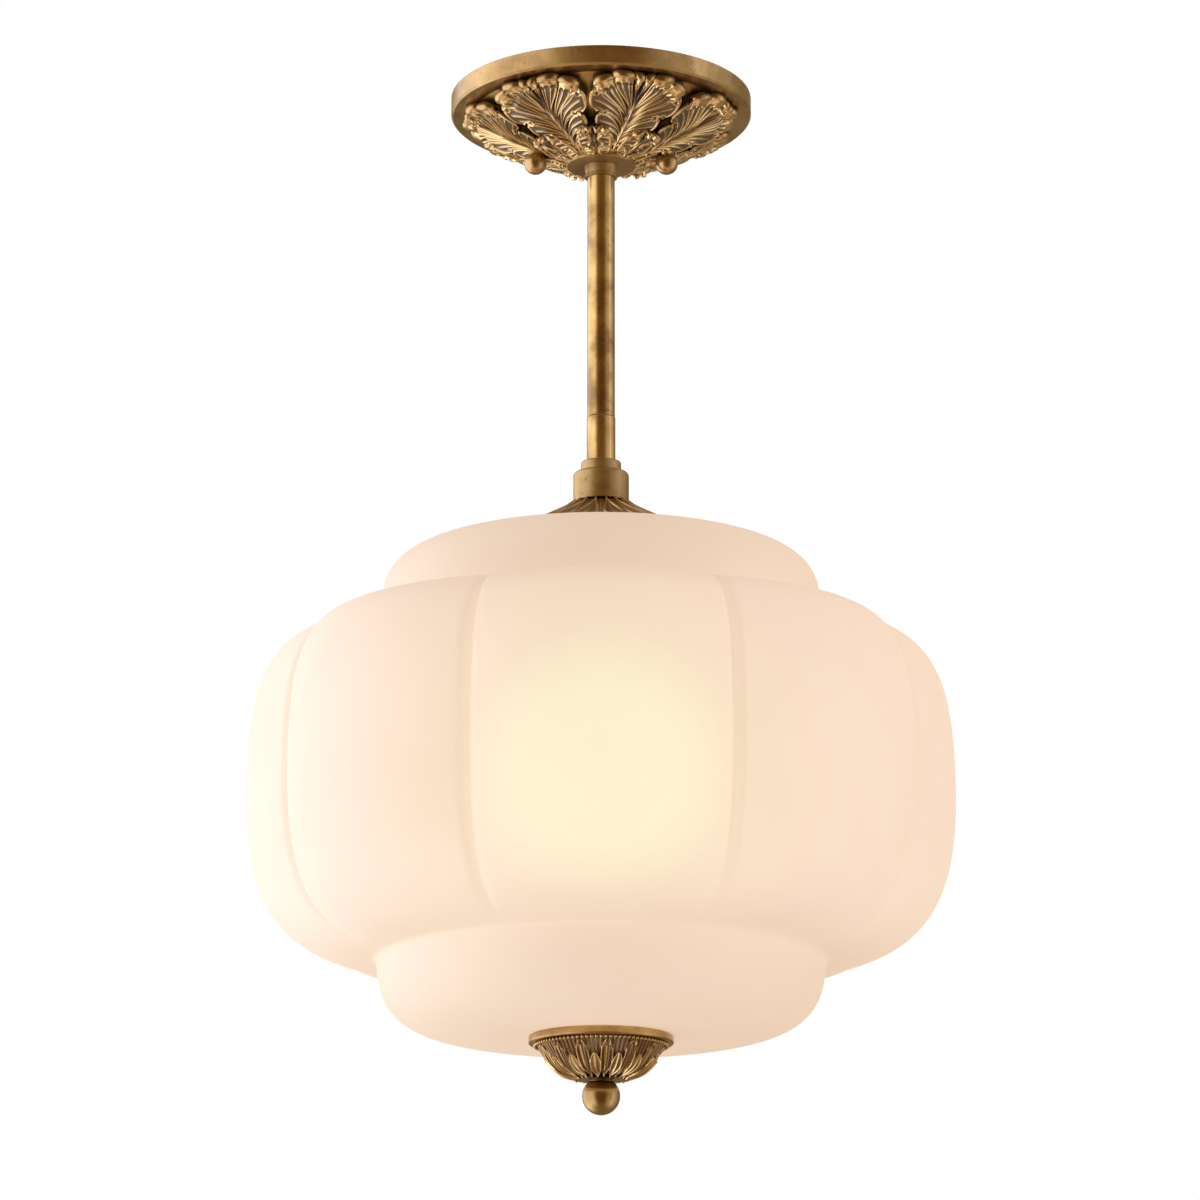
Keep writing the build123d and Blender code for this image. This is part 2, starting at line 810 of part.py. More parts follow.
# Bulb
with BuildPart() as bulb_contact:
    slab(contact_radius, contact_top, contact_low)
    fillet(bulb_contact.edges().group_by(Axis.Z)[-1], contact_round)
finish(bulb_contact, "bulb_contact")

with BuildPart() as bulb_insulator:
    with BuildSketch(Plane.XY.offset(-contact_low)):
        Circle(contact_radius + contact_height)
    with BuildSketch(Plane.XY.offset(-base_top)):
        Circle(base_inner)
    loft()
    slab(base_inner - fit, base_top, base_top + base_step)
finish(bulb_insulator, "bulb_insulator")

with BuildPart() as bulb_base:
    tube(base_radius, base_inner, base_top, base_low)
finish(bulb_base, "bulb_base")


def bulb_profile(inset):
    """Meridian of the bulb's glass, from its neck to its crown."""
    neck = base_inner - fit - inset
    width = bulb_radius - inset
    neck_top = (neck, -base_low + bulb_stem)
    neck_low = (neck, -base_low)
    widest = (width, -bulb_centre)
    return neck_top, neck_low, widest, (0, -bulb_centre - width)


with BuildPart() as bulb_glass:
    neck_top, neck_low, widest, crown = bulb_profile(0)
    in_top, in_low, in_widest, in_crown = bulb_profile(bulb_wall)
    with BuildSketch(Plane.XZ):
        with BuildLine():
            Line(neck_top, neck_low)
            Spline(neck_low, widest, tangents=((0, -1), (0, -1)))
            RadiusArc(widest, crown, bulb_radius)
            Line(crown, in_crown)
            RadiusArc(in_crown, in_widest, -(bulb_radius - bulb_wall))
            Spline(in_widest, in_low, tangents=((0, 1), (0, 1)))
            Polyline(in_low, in_top, neck_top)
        make_face()
    revolve(axis=Axis.Z)
finish(bulb_glass, "bulb_glass")

# Lamp leads, from the lampholder's screws up the stem to the twist-on connectors
screw_head = insulator_top - terminal_height
for side, name in ((1, "wire_live"), (-1, "wire_neutral")):
    route = [
        (side * terminal_place, 0, -screw_head),
        (side * terminal_place, 0, -screw_head + wire_turn),
        (side * wire_offset, 0, -socket_dome_top - wire_dip),
        (side * wire_offset, 0, -wire_level),
        (side * wire_offset, side * wire_reach, -wire_level),
    ]
    with BuildPart() as wire:
        with BuildLine() as lead:
            FilletPolyline(*route, radius=wire_radii)
        with BuildSketch(Plane(origin=route[0], z_dir=(0, 0, 1))):
            Circle(wire_radius)
        sweep(path=lead.line)
    finish(wire, name)

with BuildPart() as wire_connectors:
    for side in (1, -1):
        mouth = (side * wire_offset, side * (wire_reach - connector_grip), -wire_level)
        plane = Plane(origin=mouth, z_dir=(0, side, 0))
        with BuildSketch(plane) as mouth_round:
            Circle(connector_radius)
        with BuildSketch(plane.offset(connector_length)) as tip_round:
            Circle(connector_tip)
        loft([mouth_round.sketch, tip_round.sketch])
        with BuildSketch(plane) as grip:
            Circle(wire_radius + fit)
        extrude(grip.sketch, amount=connector_grip + seat_gap, mode=Mode.SUBTRACT)
finish(wire_connectors, "wire_connectors")
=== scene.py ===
import math
from types import SimpleNamespace

import bpy
import numpy as np
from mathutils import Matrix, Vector


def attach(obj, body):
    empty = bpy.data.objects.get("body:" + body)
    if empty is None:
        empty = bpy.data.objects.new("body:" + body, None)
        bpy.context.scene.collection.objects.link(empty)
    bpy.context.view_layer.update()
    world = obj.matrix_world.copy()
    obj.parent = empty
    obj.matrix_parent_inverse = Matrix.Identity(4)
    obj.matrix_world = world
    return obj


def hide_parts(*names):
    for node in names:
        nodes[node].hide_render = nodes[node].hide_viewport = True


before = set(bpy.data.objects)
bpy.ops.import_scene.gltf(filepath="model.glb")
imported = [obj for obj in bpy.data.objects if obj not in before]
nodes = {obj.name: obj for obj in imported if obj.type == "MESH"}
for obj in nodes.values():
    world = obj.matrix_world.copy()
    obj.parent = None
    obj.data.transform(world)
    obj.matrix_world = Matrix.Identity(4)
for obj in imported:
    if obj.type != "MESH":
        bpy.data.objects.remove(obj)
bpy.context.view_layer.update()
tau = 2 * math.pi
print("frame loaded", len(nodes), "nodes")


# Shader helpers
class Wire:
    # one output socket, so that shader maths reads as plain arithmetic
    def __init__(self, tree, out):
        self.tree, self.out = tree, out

    def math(self, operation, *values, clamp=False):
        return addNode(self.tree, "ShaderNodeMath", {"operation": operation, "use_clamp": clamp},
                       dict(enumerate(values)))

    def __add__(self, other):
        return self.math("ADD", self, other)

    def __radd__(self, other):
        return self.math("ADD", other, self)

    def __sub__(self, other):
        return self.math("SUBTRACT", self, other)

    def __rsub__(self, other):
        return self.math("SUBTRACT", other, self)

    def __mul__(self, other):
        return self.math("MULTIPLY", self, other)

    def __rmul__(self, other):
        return self.math("MULTIPLY", other, self)

    def __truediv__(self, other):
        return self.math("DIVIDE", self, other)

    def __rtruediv__(self, other):
        return self.math("DIVIDE", other, self)

    def clamped(self):
        return self.math("ADD", self, 0.0, clamp=True)


def addNode(tree, kind, settings, inputs, out=0):
    # any node: its settings first, then the values or wires of its sockets
    node = tree.nodes.new(kind)
    for key, value in settings.items():
        setattr(node, key, value)
    for key, value in inputs.items():
        socket = node.inputs[key]
        if isinstance(value, Wire):
            tree.links.new(value.out, socket)
        elif isinstance(value, tuple) and len(value) == 3 and socket.type == "RGBA":
            socket.default_value = (*value, 1.0)
        else:
            socket.default_value = value
    return Wire(tree, node.outputs[out])


def newMaterial(name):
    material = bpy.data.materials.new(name)
    material.use_nodes = True
    material.node_tree.nodes.clear()
    return material, material.node_tree


def toOutput(tree, kind, shader):
    out = tree.nodes.new(kind)
    tree.links.new(shader.out, out.inputs["Surface"])


def surfaceOf(tree, settings):
    shader = addNode(tree, "ShaderNodeBsdfPrincipled", {}, settings)
    toOutput(tree, "ShaderNodeOutputMaterial", shader)


def mixColour(tree, factor, first, second):
    node = tree.nodes.new("ShaderNodeMix")
    node.data_type = "RGBA"
    node.clamp_factor = True
    picked = {"Factor": factor, "A": first, "B": second}
    for socket in node.inputs:
        if not socket.enabled or socket.name not in picked:
            continue
        value = picked[socket.name]
        if isinstance(value, Wire):
            tree.links.new(value.out, socket)
        else:
            socket.default_value = (*value, 1.0) if isinstance(value, tuple) else value
    return Wire(tree, next(s for s in node.outputs if s.enabled))


def noise(tree, place, scale, detail, rough, distortion=0.0):
    return addNode(tree, "ShaderNodeTexNoise", {},
                   {"Vector": place, "Scale": scale, "Detail": detail, "Roughness": rough,
                    "Distortion": distortion})


def ramp(tree, value, low, high):
    return addNode(tree, "ShaderNodeMapRange", {"interpolation_type": "SMOOTHSTEP"},
                   {"Value": value, "From Min": low, "From Max": high, "To Min": 0.0, "To Max": 1.0})


def band(tree, value, low, full, fade, end):
    # 1 between full and fade, easing to 0 at low and end
    return ramp(tree, value, low, full) * (1.0 - ramp(tree, value, fade, end))


def bump(tree, height, strength, distance, normal=None):
    inputs = {"Height": height, "Strength": strength, "Distance": distance}
    if normal is not None:
        inputs["Normal"] = normal
    return addNode(tree, "ShaderNodeBump", {}, inputs)


def vectorMath(tree, operation, *values):
    return addNode(tree, "ShaderNodeVectorMath", {"operation": operation}, dict(enumerate(values)))


def objectPlace(tree):
    return addNode(tree, "ShaderNodeTexCoord", {}, {}, "Object")


def axesOf(tree, vector):
    first = addNode(tree, "ShaderNodeSeparateXYZ", {}, {0: vector})
    return [Wire(tree, axis) for axis in first.out.node.outputs]


def stretched(tree, place, scale):
    return addNode(tree, "ShaderNodeMapping", {}, {"Vector": place, "Scale": scale})


def turnedPlace(tree, place, spread, along):
    # lines that run round the upright axis, for brushed and turned work
    x, y, z = axesOf(tree, place)
    square = x * x + y * y
    radius = square.math("SQRT", square)
    safe = radius + 0.0001
    return addNode(tree, "ShaderNodeCombineXYZ", {},
                   {"X": x / safe * spread, "Y": y / safe * spread, "Z": (z + radius) * along})


# Metals
brassLook = {
    "bright": (0.61, 0.388, 0.138),
    "middle": (0.39, 0.212, 0.053),
    "dark": (0.13, 0.058, 0.014),
    "recess": (0.115, 0.085, 0.058),
    "worn": (0.90, 0.66, 0.35),
    "roughness": 0.22,
    "coat": 0.60,
    "coatRough": 0.08,
    "coatIor": 1.75,
    "patinaScale": 34.0,
    "speckScale": 240.0,
    "fineScale": 1400.0,
    "turned": (9.0, 5200.0),  # lines round the axis: spread round it and lines along it
    "drawn": (2600.0, 2600.0, 60.0),  # lines along a tube
    "relief": 0.16,
    "depth": 0.00012,
    "edge": 0.0005,
}


def agedBrass(name, carved=False, mottle=0.5, brushed="turned", shade=1.0, rough=0.0, grain=1.0,
              ground=None, patches=1.0):
    look = brassLook
    # painted shade: shade darkens every brass colour of this copy, so that some parts are darker copies of
    # the same brass
    bright, middle, dark = (tuple(shade * v for v in look[key]) for key in ("bright", "middle", "dark"))
    material, tree = newMaterial(name)
    place = objectPlace(tree)
    clouds = noise(tree, place, look["patinaScale"] * patches, 5.0, 0.6, 0.4)
    specks = noise(tree, place, look["speckScale"], 3.0, 0.6)
    fine = noise(tree, place, look["fineScale"], 2.0, 0.5)
    wear = ramp(tree, clouds, 0.66 - 0.25 * mottle, 0.70)
    colour = mixColour(tree, ramp(tree, clouds, 0.35, 0.62), bright, middle)
    colour = mixColour(tree, wear * mottle, colour, dark)
    colour = mixColour(tree, ramp(tree, specks, 0.60, 0.74) * 0.45, colour, dark)
    roughness = look["roughness"] + rough + clouds * 0.10 + wear * (0.16 * mottle) + specks * 0.06
    lines = fine
    if brushed == "turned":
        lines = noise(tree, turnedPlace(tree, place, *look["turned"]), 1.0, 3.0, 0.6)
        roughness = roughness + lines * 0.10
    elif brushed == "drawn":
        lines = noise(tree, stretched(tree, place, look["drawn"]), 1.0, 3.0, 0.6)
        roughness = roughness + lines * 0.12
    height = lines * (0.5 * grain) + specks * 0.35 + fine * 0.15
    metallic = 1.0
    soft = None
    if carved:
        # the carve mark of a point is low in the ground and high on what hands have rubbed
        carve = addNode(tree, "ShaderNodeAttribute", {"attribute_name": "carve"}, {}, "Fac")
        low = 1.0 - ramp(tree, carve + (clouds - 0.5) * 0.25, 0.12, 0.62)
        high = ramp(tree, carve + (specks - 0.5) * 0.12, 0.62, 0.95)
        colour = mixColour(tree, low * 0.92, colour, ground or look["recess"])
        colour = mixColour(tree, high * 0.8, colour, look["worn"])
        roughness = roughness + low * 0.24 - high * 0.07
        if ground is None:
            metallic = 1.0 - low * 0.30
    else:
        soft = addNode(tree, "ShaderNodeBevel", {"samples": 6}, {"Radius": look["edge"]})
    normal = bump(tree, height, look["relief"], look["depth"], soft)
    surfaceOf(tree, {"Base Color": colour, "Metallic": metallic, "Roughness": roughness.clamped(),
                     "Normal": normal, "Coat Weight": look["coat"],
                     "Coat Roughness": look["coatRough"] + rough, "Coat IOR": look["coatIor"]})
    return material


plainLook = {"cloudScale": 60.0, "lineScale": (900.0, 900.0, 900.0), "relief": 0.14, "depth": 0.00015}
softLook = {"cloudScale": 120.0, "grainScale": 1440.0, "relief": 0.2, "depth": 0.0002}


def plainMetal(name, light, dark, rough):
    look = plainLook
    material, tree = newMaterial(name)
    place = objectPlace(tree)
    clouds = noise(tree, place, look["cloudScale"], 5.0, 0.6, 0.3)
    lines = noise(tree, stretched(tree, place, look["lineScale"]), 1.0, 3.0, 0.6)
    colour = mixColour(tree, ramp(tree, clouds, 0.35, 0.68), light, dark)
    roughness = rough + clouds * 0.16 + lines * 0.10
    normal = bump(tree, lines * 0.6 + clouds * 0.4, look["relief"], look["depth"])
    surfaceOf(tree, {"Base Color": colour, "Metallic": 1.0, "Roughness": roughness.clamped(),
                     "Normal": normal})
    return material


def softMatter(name, light, dark, rough, coat=0.0):
    # rubber, ceramic, plastic and insulation
    look = softLook
    material, tree = newMaterial(name)
    place = objectPlace(tree)
    clouds = noise(tree, place, look["cloudScale"], 5.0, 0.6, 0.2)
    grain = noise(tree, place, look["grainScale"], 3.0, 0.6)
    colour = mixColour(tree, ramp(tree, clouds, 0.32, 0.70), light, dark)
    roughness = rough + clouds * 0.14 + grain * 0.08
    normal = bump(tree, grain * 0.7 + clouds * 0.3, look["relief"], look["depth"])
    surfaceOf(tree, {"Base Color": colour, "Roughness": roughness.clamped(), "Normal": normal,
                     "Coat Weight": coat})
    return material


# Glass
# painted light: the emission colours below paint the bulb's light shining through the glass, dim at the
# tiers and bright round the bulb; body and shadow, the glass's own colour, are kept a mid grey under them
glassLook = {
    "body": (0.46, 0.440, 0.420),
    "shadow": (0.425, 0.402, 0.380),
    "tier": (0.60, 0.425, 0.290),
    "warmGlow": (0.66, 0.475, 0.340),
    "near": (0.69, 0.525, 0.345),
    "hot": (0.73, 0.665, 0.415),
    "nearFrom": 0.68,
    "hotFrom": 0.90,
    "roughness": 0.42,
    "cloudScale": 9.0,
    "seedScale": 160.0,
    "relief": 0.10,
    "depth": 0.0006,
    "ior": 1.45,
    "specular": 0.35,
    "bulb": (0.0, 0.0, -0.3165),
}


def opalGlass(name):
    look = glassLook
    material, tree = newMaterial(name)
    place = objectPlace(tree)
    clouds = noise(tree, place, look["cloudScale"], 4.0, 0.55, 0.6)
    seeds = noise(tree, place, look["seedScale"], 3.0, 0.6)
    glow = addNode(tree, "ShaderNodeAttribute", {"attribute_name": "glow"}, {}, "Fac")
    ray = vectorMath(tree, "NORMALIZE", vectorMath(tree, "SUBTRACT", place, look["bulb"]))
    # 1 where the bulb is right behind the glass as the camera sees it, so the painted bright spot follows
    # the camera
    aside = addNode(tree, "ShaderNodeLayerWeight", {}, {"Blend": 0.5, "Normal": ray}, "Facing")
    ahead = (1.0 - aside).clamped()
    veil = (clouds - 0.5) * 0.05
    colour = mixColour(tree, ramp(tree, clouds, 0.3, 0.7), look["body"], look["shadow"])
    # painted light: the emission colour brightens and warms where the glow attribute is high, and more in a
    # spot where the bulb stands behind the glass, standing in for the bulb shining through
    light = mixColour(tree, (glow + veil).clamped(), look["tier"], look["warmGlow"])
    light = mixColour(tree, ramp(tree, ahead + veil, look["nearFrom"], 1.0) * glow, light, look["near"])
    light = mixColour(tree, ramp(tree, ahead + veil * 0.5, look["hotFrom"], 1.0) * glow, light, look["hot"])
    roughness = look["roughness"] + clouds * 0.10 + seeds * 0.05
    # light spreads inside the glass, so its shade turns more slowly than its surface does
    surface = addNode(tree, "ShaderNodeNewGeometry", {}, {}, "Normal")
    spread = vectorMath(tree, "NORMALIZE", vectorMath(tree, "ADD", surface, ray))
    normal = bump(tree, clouds * 0.8 + seeds * 0.2, look["relief"], look["depth"], spread)
    surfaceOf(tree, {"Base Color": colour, "Roughness": roughness.clamped(), "Normal": normal,
                     "Emission Color": light, "Emission Strength": 1.0, "IOR": look["ior"],
                     "Specular IOR Level": look["specular"]})
    return material


bulbLook = {
    "body": (0.62, 0.60, 0.56),
    "shadow": (0.52, 0.49, 0.45),
    "light": (0.72, 0.60, 0.36),
    "dim": (0.68, 0.54, 0.31),
    "rim": (0.40, 0.26, 0.13),
    "roughness": 0.38,
    "cloudScale": 45.0,
    "grainScale": 1600.0,
    "relief": 0.15,
    "depth": 0.0001,
}


def frostedBulb(name):
    look = bulbLook
    material, tree = newMaterial(name)
    place = objectPlace(tree)
    clouds = noise(tree, place, look["cloudScale"], 4.0, 0.55, 0.3)
    # the bulb is dimmer at its rim as the camera sees it
    facing = addNode(tree, "ShaderNodeLayerWeight", {}, {"Blend": 0.5}, "Facing")
    colour = mixColour(tree, clouds, look["body"], look["shadow"])
    light = mixColour(tree, clouds, look["light"], look["dim"])
    light = mixColour(tree, ramp(tree, facing, 0.30, 0.95), light, look["rim"])
    grain = noise(tree, place, look["grainScale"], 2.0, 0.6)
    surfaceOf(tree, {"Base Color": colour, "Roughness": look["roughness"] + clouds * 0.2,
                     "Normal": bump(tree, grain, look["relief"], look["depth"]),
                     "Emission Color": light, "Emission Strength": 1.0})
    return material


print("materials")
# painted shade: brassTurned, brassRim, brassCarved and brassSatin are darker copies of the same brass
# through their shade
brassTurned = agedBrass("brassTurned", mottle=0.45, rough=0.19, shade=0.80)
brassRim = agedBrass("brassRim", mottle=0.45, grain=1.6, rough=0.04, shade=0.92)
brassDrawn = agedBrass("brassDrawn", brushed="drawn", mottle=0.60, rough=-0.05, patches=1.7)
brassCarved = agedBrass("brassCarved", carved=True, brushed="none", mottle=0.4, shade=0.88, rough=-0.03)
brassCup = agedBrass("brassCup", carved=True, brushed="none", mottle=0.3, rough=-0.03,
                     ground=(0.22, 0.108, 0.030))
brassSatin = agedBrass("brassSatin", brushed="none", mottle=0.30, shade=0.80, rough=0.02)
brassBright = plainMetal("brassBright", (0.83, 0.62, 0.28), (0.66, 0.44, 0.17), 0.2)
zincSteel = plainMetal("zincSteel", (0.62, 0.61, 0.58), (0.47, 0.46, 0.43), 0.3)
nickel = plainMetal("nickel", (0.72, 0.70, 0.66), (0.56, 0.53, 0.49), 0.22)
porcelain = softMatter("porcelain", (0.86, 0.84, 0.80), (0.78, 0.75, 0.69), 0.2, coat=0.4)
feltRubber = softMatter("feltRubber", (0.10, 0.095, 0.09), (0.05, 0.047, 0.044), 0.7)
blackGlass = softMatter("blackGlass", (0.03, 0.03, 0.035), (0.015, 0.014, 0.016), 0.12, coat=0.3)
greenScrew = plainMetal("greenScrew", (0.10, 0.42, 0.16), (0.05, 0.28, 0.10), 0.32)
wireBlack = softMatter("wireBlack", (0.045, 0.045, 0.048), (0.02, 0.02, 0.022), 0.38)
wireWhite = softMatter("wireWhite", (0.82, 0.81, 0.78), (0.70, 0.68, 0.64), 0.36)
connectorSkin = softMatter("connectorSkin", (0.62, 0.21, 0.05), (0.48, 0.15, 0.035), 0.34)
opal = opalGlass("opalGlass")
bulbFrost = frostedBulb("bulbFrost")

finishes = {
    "canopy_plate": brassRim,
    "hub_disc": brassTurned,
    "stem_collar": brassTurned,
    "stem_upper": brassDrawn,
    "stem_lower": brassDrawn,
    "neck_ring": brassTurned,
    "neck_cup": brassTurned,
    "cup_ring": brassRim,
    "finial_washer": brassTurned,
    "finial_ball": brassSatin,
    "knob_neck_left": brassTurned,
    "knob_neck_right": brassTurned,
    "knob_ball_left": brassSatin,
    "knob_ball_right": brassSatin,
    "leaf_rosette": brassCarved,
    "leaf_cup": brassCup,
    "shade_cap": brassCup,
    "shade_glass": opal,
    "bulb_glass": bulbFrost,
    "bulb_insulator": blackGlass,
    "bulb_base": nickel,
    "bulb_contact": zincSteel,
    "socket_cap": brassBright,
    "socket_shell": brassBright,
    "screw_shell": brassBright,
    "contact_tab": brassBright,
    "terminal_screws": brassBright,
    "socket_insulator": porcelain,
    "top_gasket": feltRubber,
    "bottom_pad": feltRubber,
    "ground_screw": greenScrew,
    "wire_live": wireBlack,
    "wire_neutral": wireWhite,
    "wire_connectors": connectorSkin,
}
for name, node in nodes.items():
    node.data.materials.clear()
    node.data.materials.append(finishes.get(name, zincSteel))


# Mesh helpers, in millimetres
metresPerMillimetre = 0.001


def makeMesh(name, points, faces, material, attributes=None):
    mesh = bpy.data.meshes.new(name)
    mesh.from_pydata((np.asarray(points, float) * metresPerMillimetre).tolist(), [], faces)
    mesh.polygons.foreach_set("use_smooth", [True] * len(mesh.polygons))
    for key, values in (attributes or {}).items():
        layer = mesh.attributes.new(key, "FLOAT", "POINT")
        layer.data.foreach_set("value", np.asarray(values, np.float32).ravel())
    mesh.materials.append(material)
    mesh.update()
    piece = bpy.data.objects.new(name, mesh)
    bpy.context.scene.collection.objects.link(piece)
    return piece


def gridFaces(rows, columns, start=0, wrap=False, flip=False):
    faces = []
    for i in range(rows - 1):
        for j in range(columns if wrap else columns - 1):
            k = (j + 1) % columns
            a, b = start + i * columns + j, start + i * columns + k
            c, d = a + columns, b + columns
            faces.append((a, c, d, b) if flip else (a, b, d, c))
    return faces


def shifted(faces, start):
    return [tuple(start + v for v in quad) for quad in faces]


def bezier(points, count):
    t = np.linspace(0, 1, count)[:, None]
    points = np.asarray(points, float)
    if len(points) == 3:
        return (1 - t) ** 2 * points[0] + 2 * t * (1 - t) * points[1] + t ** 2 * points[2]
    return ((1 - t) ** 3 * points[0] + 3 * t * (1 - t) ** 2 * points[1]
            + 3 * t ** 2 * (1 - t) * points[2] + t ** 3 * points[3])


def resample(path, count):
    # the same path with evenly spaced points
    path = np.asarray(path, float)
    steps = np.r_[0, np.cumsum(np.linalg.norm(np.diff(path, axis=0), axis=1))]
    want = np.linspace(0, steps[-1], count)
    return np.stack([np.interp(want, steps, path[:, i]) for i in range(path.shape[1])], axis=1)


def gauss(x, width):
    return np.exp(-(x / width) ** 2)


def smooth(x, low, high):
    t = np.clip((x - low) / (high - low), 0, 1)
    return t * t * (3 - 2 * t)


def unit(vectors):
    return vectors / np.maximum(np.linalg.norm(vectors, axis=1, keepdims=True), 1e-9)


def revolved(path, columns, relief=None):
    # a meridian turned round the axis, pushed outwards by a relief of (row share, angle)
    path = np.asarray(path, float)
    slope = np.gradient(path, axis=0)
    out = unit(np.stack([-slope[:, 1], slope[:, 0]], axis=1))
    angle = np.arange(columns) * tau / columns
    share = np.linspace(0, 1, len(path))
    push = np.zeros((len(path), columns)) if relief is None else relief(share[:, None], angle[None, :])
    r = path[:, :1] + out[:, :1] * push
    z = path[:, 1:] + out[:, 1:] * push
    grid = np.stack([r * np.cos(angle), r * np.sin(angle), np.broadcast_to(z, r.shape)], axis=2)
    return grid.reshape(-1, 3), push


# Stem
stem = {
    "radius": 6.35,
    "sleeve": 6.55,
    "bore": 5.05,
    "top": -38.5,
    "seam": -154.7,
    "low": -176.0,
    "bevel": 0.35,
    "columns": 96,
    "near": 0.12,
}


def crisp(path):
    # a closed outline with extra points beside its corners, so that they shade sharp
    out = []
    for a, b in zip(path, path[1:] + path[:1]):
        a, b = np.array(a, float), np.array(b, float)
        step = (b - a) * min(stem["near"] / np.linalg.norm(b - a), 0.4)
        out += [a, a + step, b - step]
    return np.array(out)


def drawnPiece(name, path, node):
    points, _ = revolved(path, stem["columns"])
    faces = [tuple(v % len(points) for v in quad)
             for quad in gridFaces(len(path) + 1, stem["columns"], 0, wrap=True, flip=True)]
    piece = makeMesh(name, points, faces, brassDrawn)
    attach(piece, "fixture")
    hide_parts(node)


def drawStem():
    s = stem
    tube = [(s["bore"], s["top"]), (s["radius"], s["top"]), (s["radius"], s["seam"] + s["bevel"]),
            (s["radius"] - s["bevel"], s["seam"]), (s["bore"], s["seam"])]
    sleeve = [(s["bore"], s["seam"]), (s["sleeve"] - s["bevel"], s["seam"]),
              (s["sleeve"], s["seam"] - s["bevel"]), (s["sleeve"], s["low"]), (s["bore"], s["low"])]
    drawnPiece("drawn_tube", crisp(tube), "stem_upper")
    drawnPiece("drawn_sleeve", crisp(sleeve), "stem_lower")


print("stem")
drawStem()


# Opal glass shade
shade = {
    "columns": 512,
    "rows": 300,
    "lobes": 8,
    "top": -222.8,
    "hole": 37.0,
    "tier": 98.9,
    "corner": 17.3,
    "cornerSteps": 20,
    "shoulder": -256.3,
    "shoulderReach": 45.8,
    "shoulderFall": 65.0,
    "equator": -330.2,
    "crest": 158.8,
    "lobeArc": 84.0,
    "bellyFall": 44.2,
    "bellyReach": 48.3,
    "curveSteps": 60,
    "foot": -406.5,
    "footRadius": 99.6,
    "footStep": 0.6,
    "footFall": 28.9,
    "footTurn": 82.0,
    "footSag": 3.6,
    "footSteps": 50,
    "seat": -439.8,
    "seatRadius": 34.0,
    "lowHole": 6.0,
    "grooveDepth": 4.3,
    "grooveHalf": 4.4,
    "wall": 4.2,
    "crease": 1.6,
    "glowLow": (-425, -380),
    "glowHigh": (-275, -240),
    "glowAcross": (70, 135),
}


def lobeRadius(angle):
    s = shade
    half = math.pi / s["lobes"]
    turn = np.abs((angle + half) % (2 * half) - half)
    groove = s["grooveHalf"] / s["crest"]
    plain = np.minimum(turn, half - groove)
    offset = s["crest"] - s["lobeArc"]
    arc = offset * np.cos(plain) + np.sqrt(s["lobeArc"] ** 2 - (offset * np.sin(plain)) ** 2)
    into = np.clip((turn - half + groove) / groove, 0, 1)
    return arc - s["grooveDepth"] * (1 - np.cos(np.pi * into)) / 2


def shadeMeridian(radius, wall):
    # the outline from the top hole to the low hole where the equator has this radius, drawn in by the wall
    s = shade
    grow = (radius - s["tier"]) / (s["crest"] - s["tier"])
    corner = s["corner"] - wall
    turn = np.linspace(math.pi / 2, 0, s["cornerSteps"])
    mid = (s["tier"] - s["corner"], s["top"] - s["corner"])
    tier = [(s["hole"], s["top"] - wall)]
    tier += [(mid[0] + corner * math.cos(a), mid[1] + corner * math.sin(a)) for a in turn]
    tier += [(s["tier"] - wall, s["shoulder"] - wall * 0.5)]
    body = bezier([(s["tier"] - wall * 0.6, s["shoulder"] - wall),
                   (s["tier"] + s["shoulderReach"] * grow - wall, s["shoulder"] - wall),
                   (radius - wall, s["equator"] + s["shoulderFall"] - wall),
                   (radius - wall, s["equator"])], s["curveSteps"])[1:]
    belly = bezier([(radius - wall, s["equator"]), (radius - wall, s["equator"] - s["bellyFall"]),
                    (s["footRadius"] + s["bellyReach"] * grow - wall, s["foot"] + wall),
                    (s["footRadius"] - wall * 0.6, s["foot"] + wall)], s["curveSteps"])[1:]
    bowl = bezier([(s["footRadius"] - wall, s["foot"] - s["footStep"]),
                   (s["footRadius"] - wall, s["foot"] - s["footFall"] + wall * 0.5),
                   (s["footTurn"] - wall * 0.5, s["seat"] - s["footSag"] + wall),
                   (s["seatRadius"], s["seat"] + wall)], s["footSteps"])
    low = [(s["lowHole"], s["seat"] + wall)]
    return np.array(tier + body.tolist() + belly.tolist() + bowl.tolist() + low)


def softened(path, reach, rows):
    # even spacing, with the sharp inner corners rounded as pressed glass has them
    path = resample(path, rows)
    step = np.linalg.norm(path[1] - path[0])
    span = int(3 * reach / step) + 1
    kernel = gauss(np.arange(-span, span + 1) * step, reach * 1.2)
    kernel /= kernel.sum()
    wide = np.concatenate([path[:1].repeat(span, 0), path, path[-1:].repeat(span, 0)])
    out = np.stack([np.convolve(wide[:, i], kernel, "valid") for i in range(2)], axis=1)
    out[0], out[-1] = path[0], path[-1]
    return out


def shadeSkin(wall):
    s = shade
    angles = np.arange(s["columns"]) * tau / s["columns"]
    lobe = np.stack([softened(shadeMeridian(float(lobeRadius(a)), wall), s["crease"], s["rows"])
                     for a in angles[:s["columns"] // s["lobes"]]])
    path = np.tile(lobe, (s["lobes"], 1, 1))
    r, z = path[:, :, 0].T, path[:, :, 1].T
    return np.stack([r * np.cos(angles), r * np.sin(angles), z], axis=2).reshape(-1, 3)


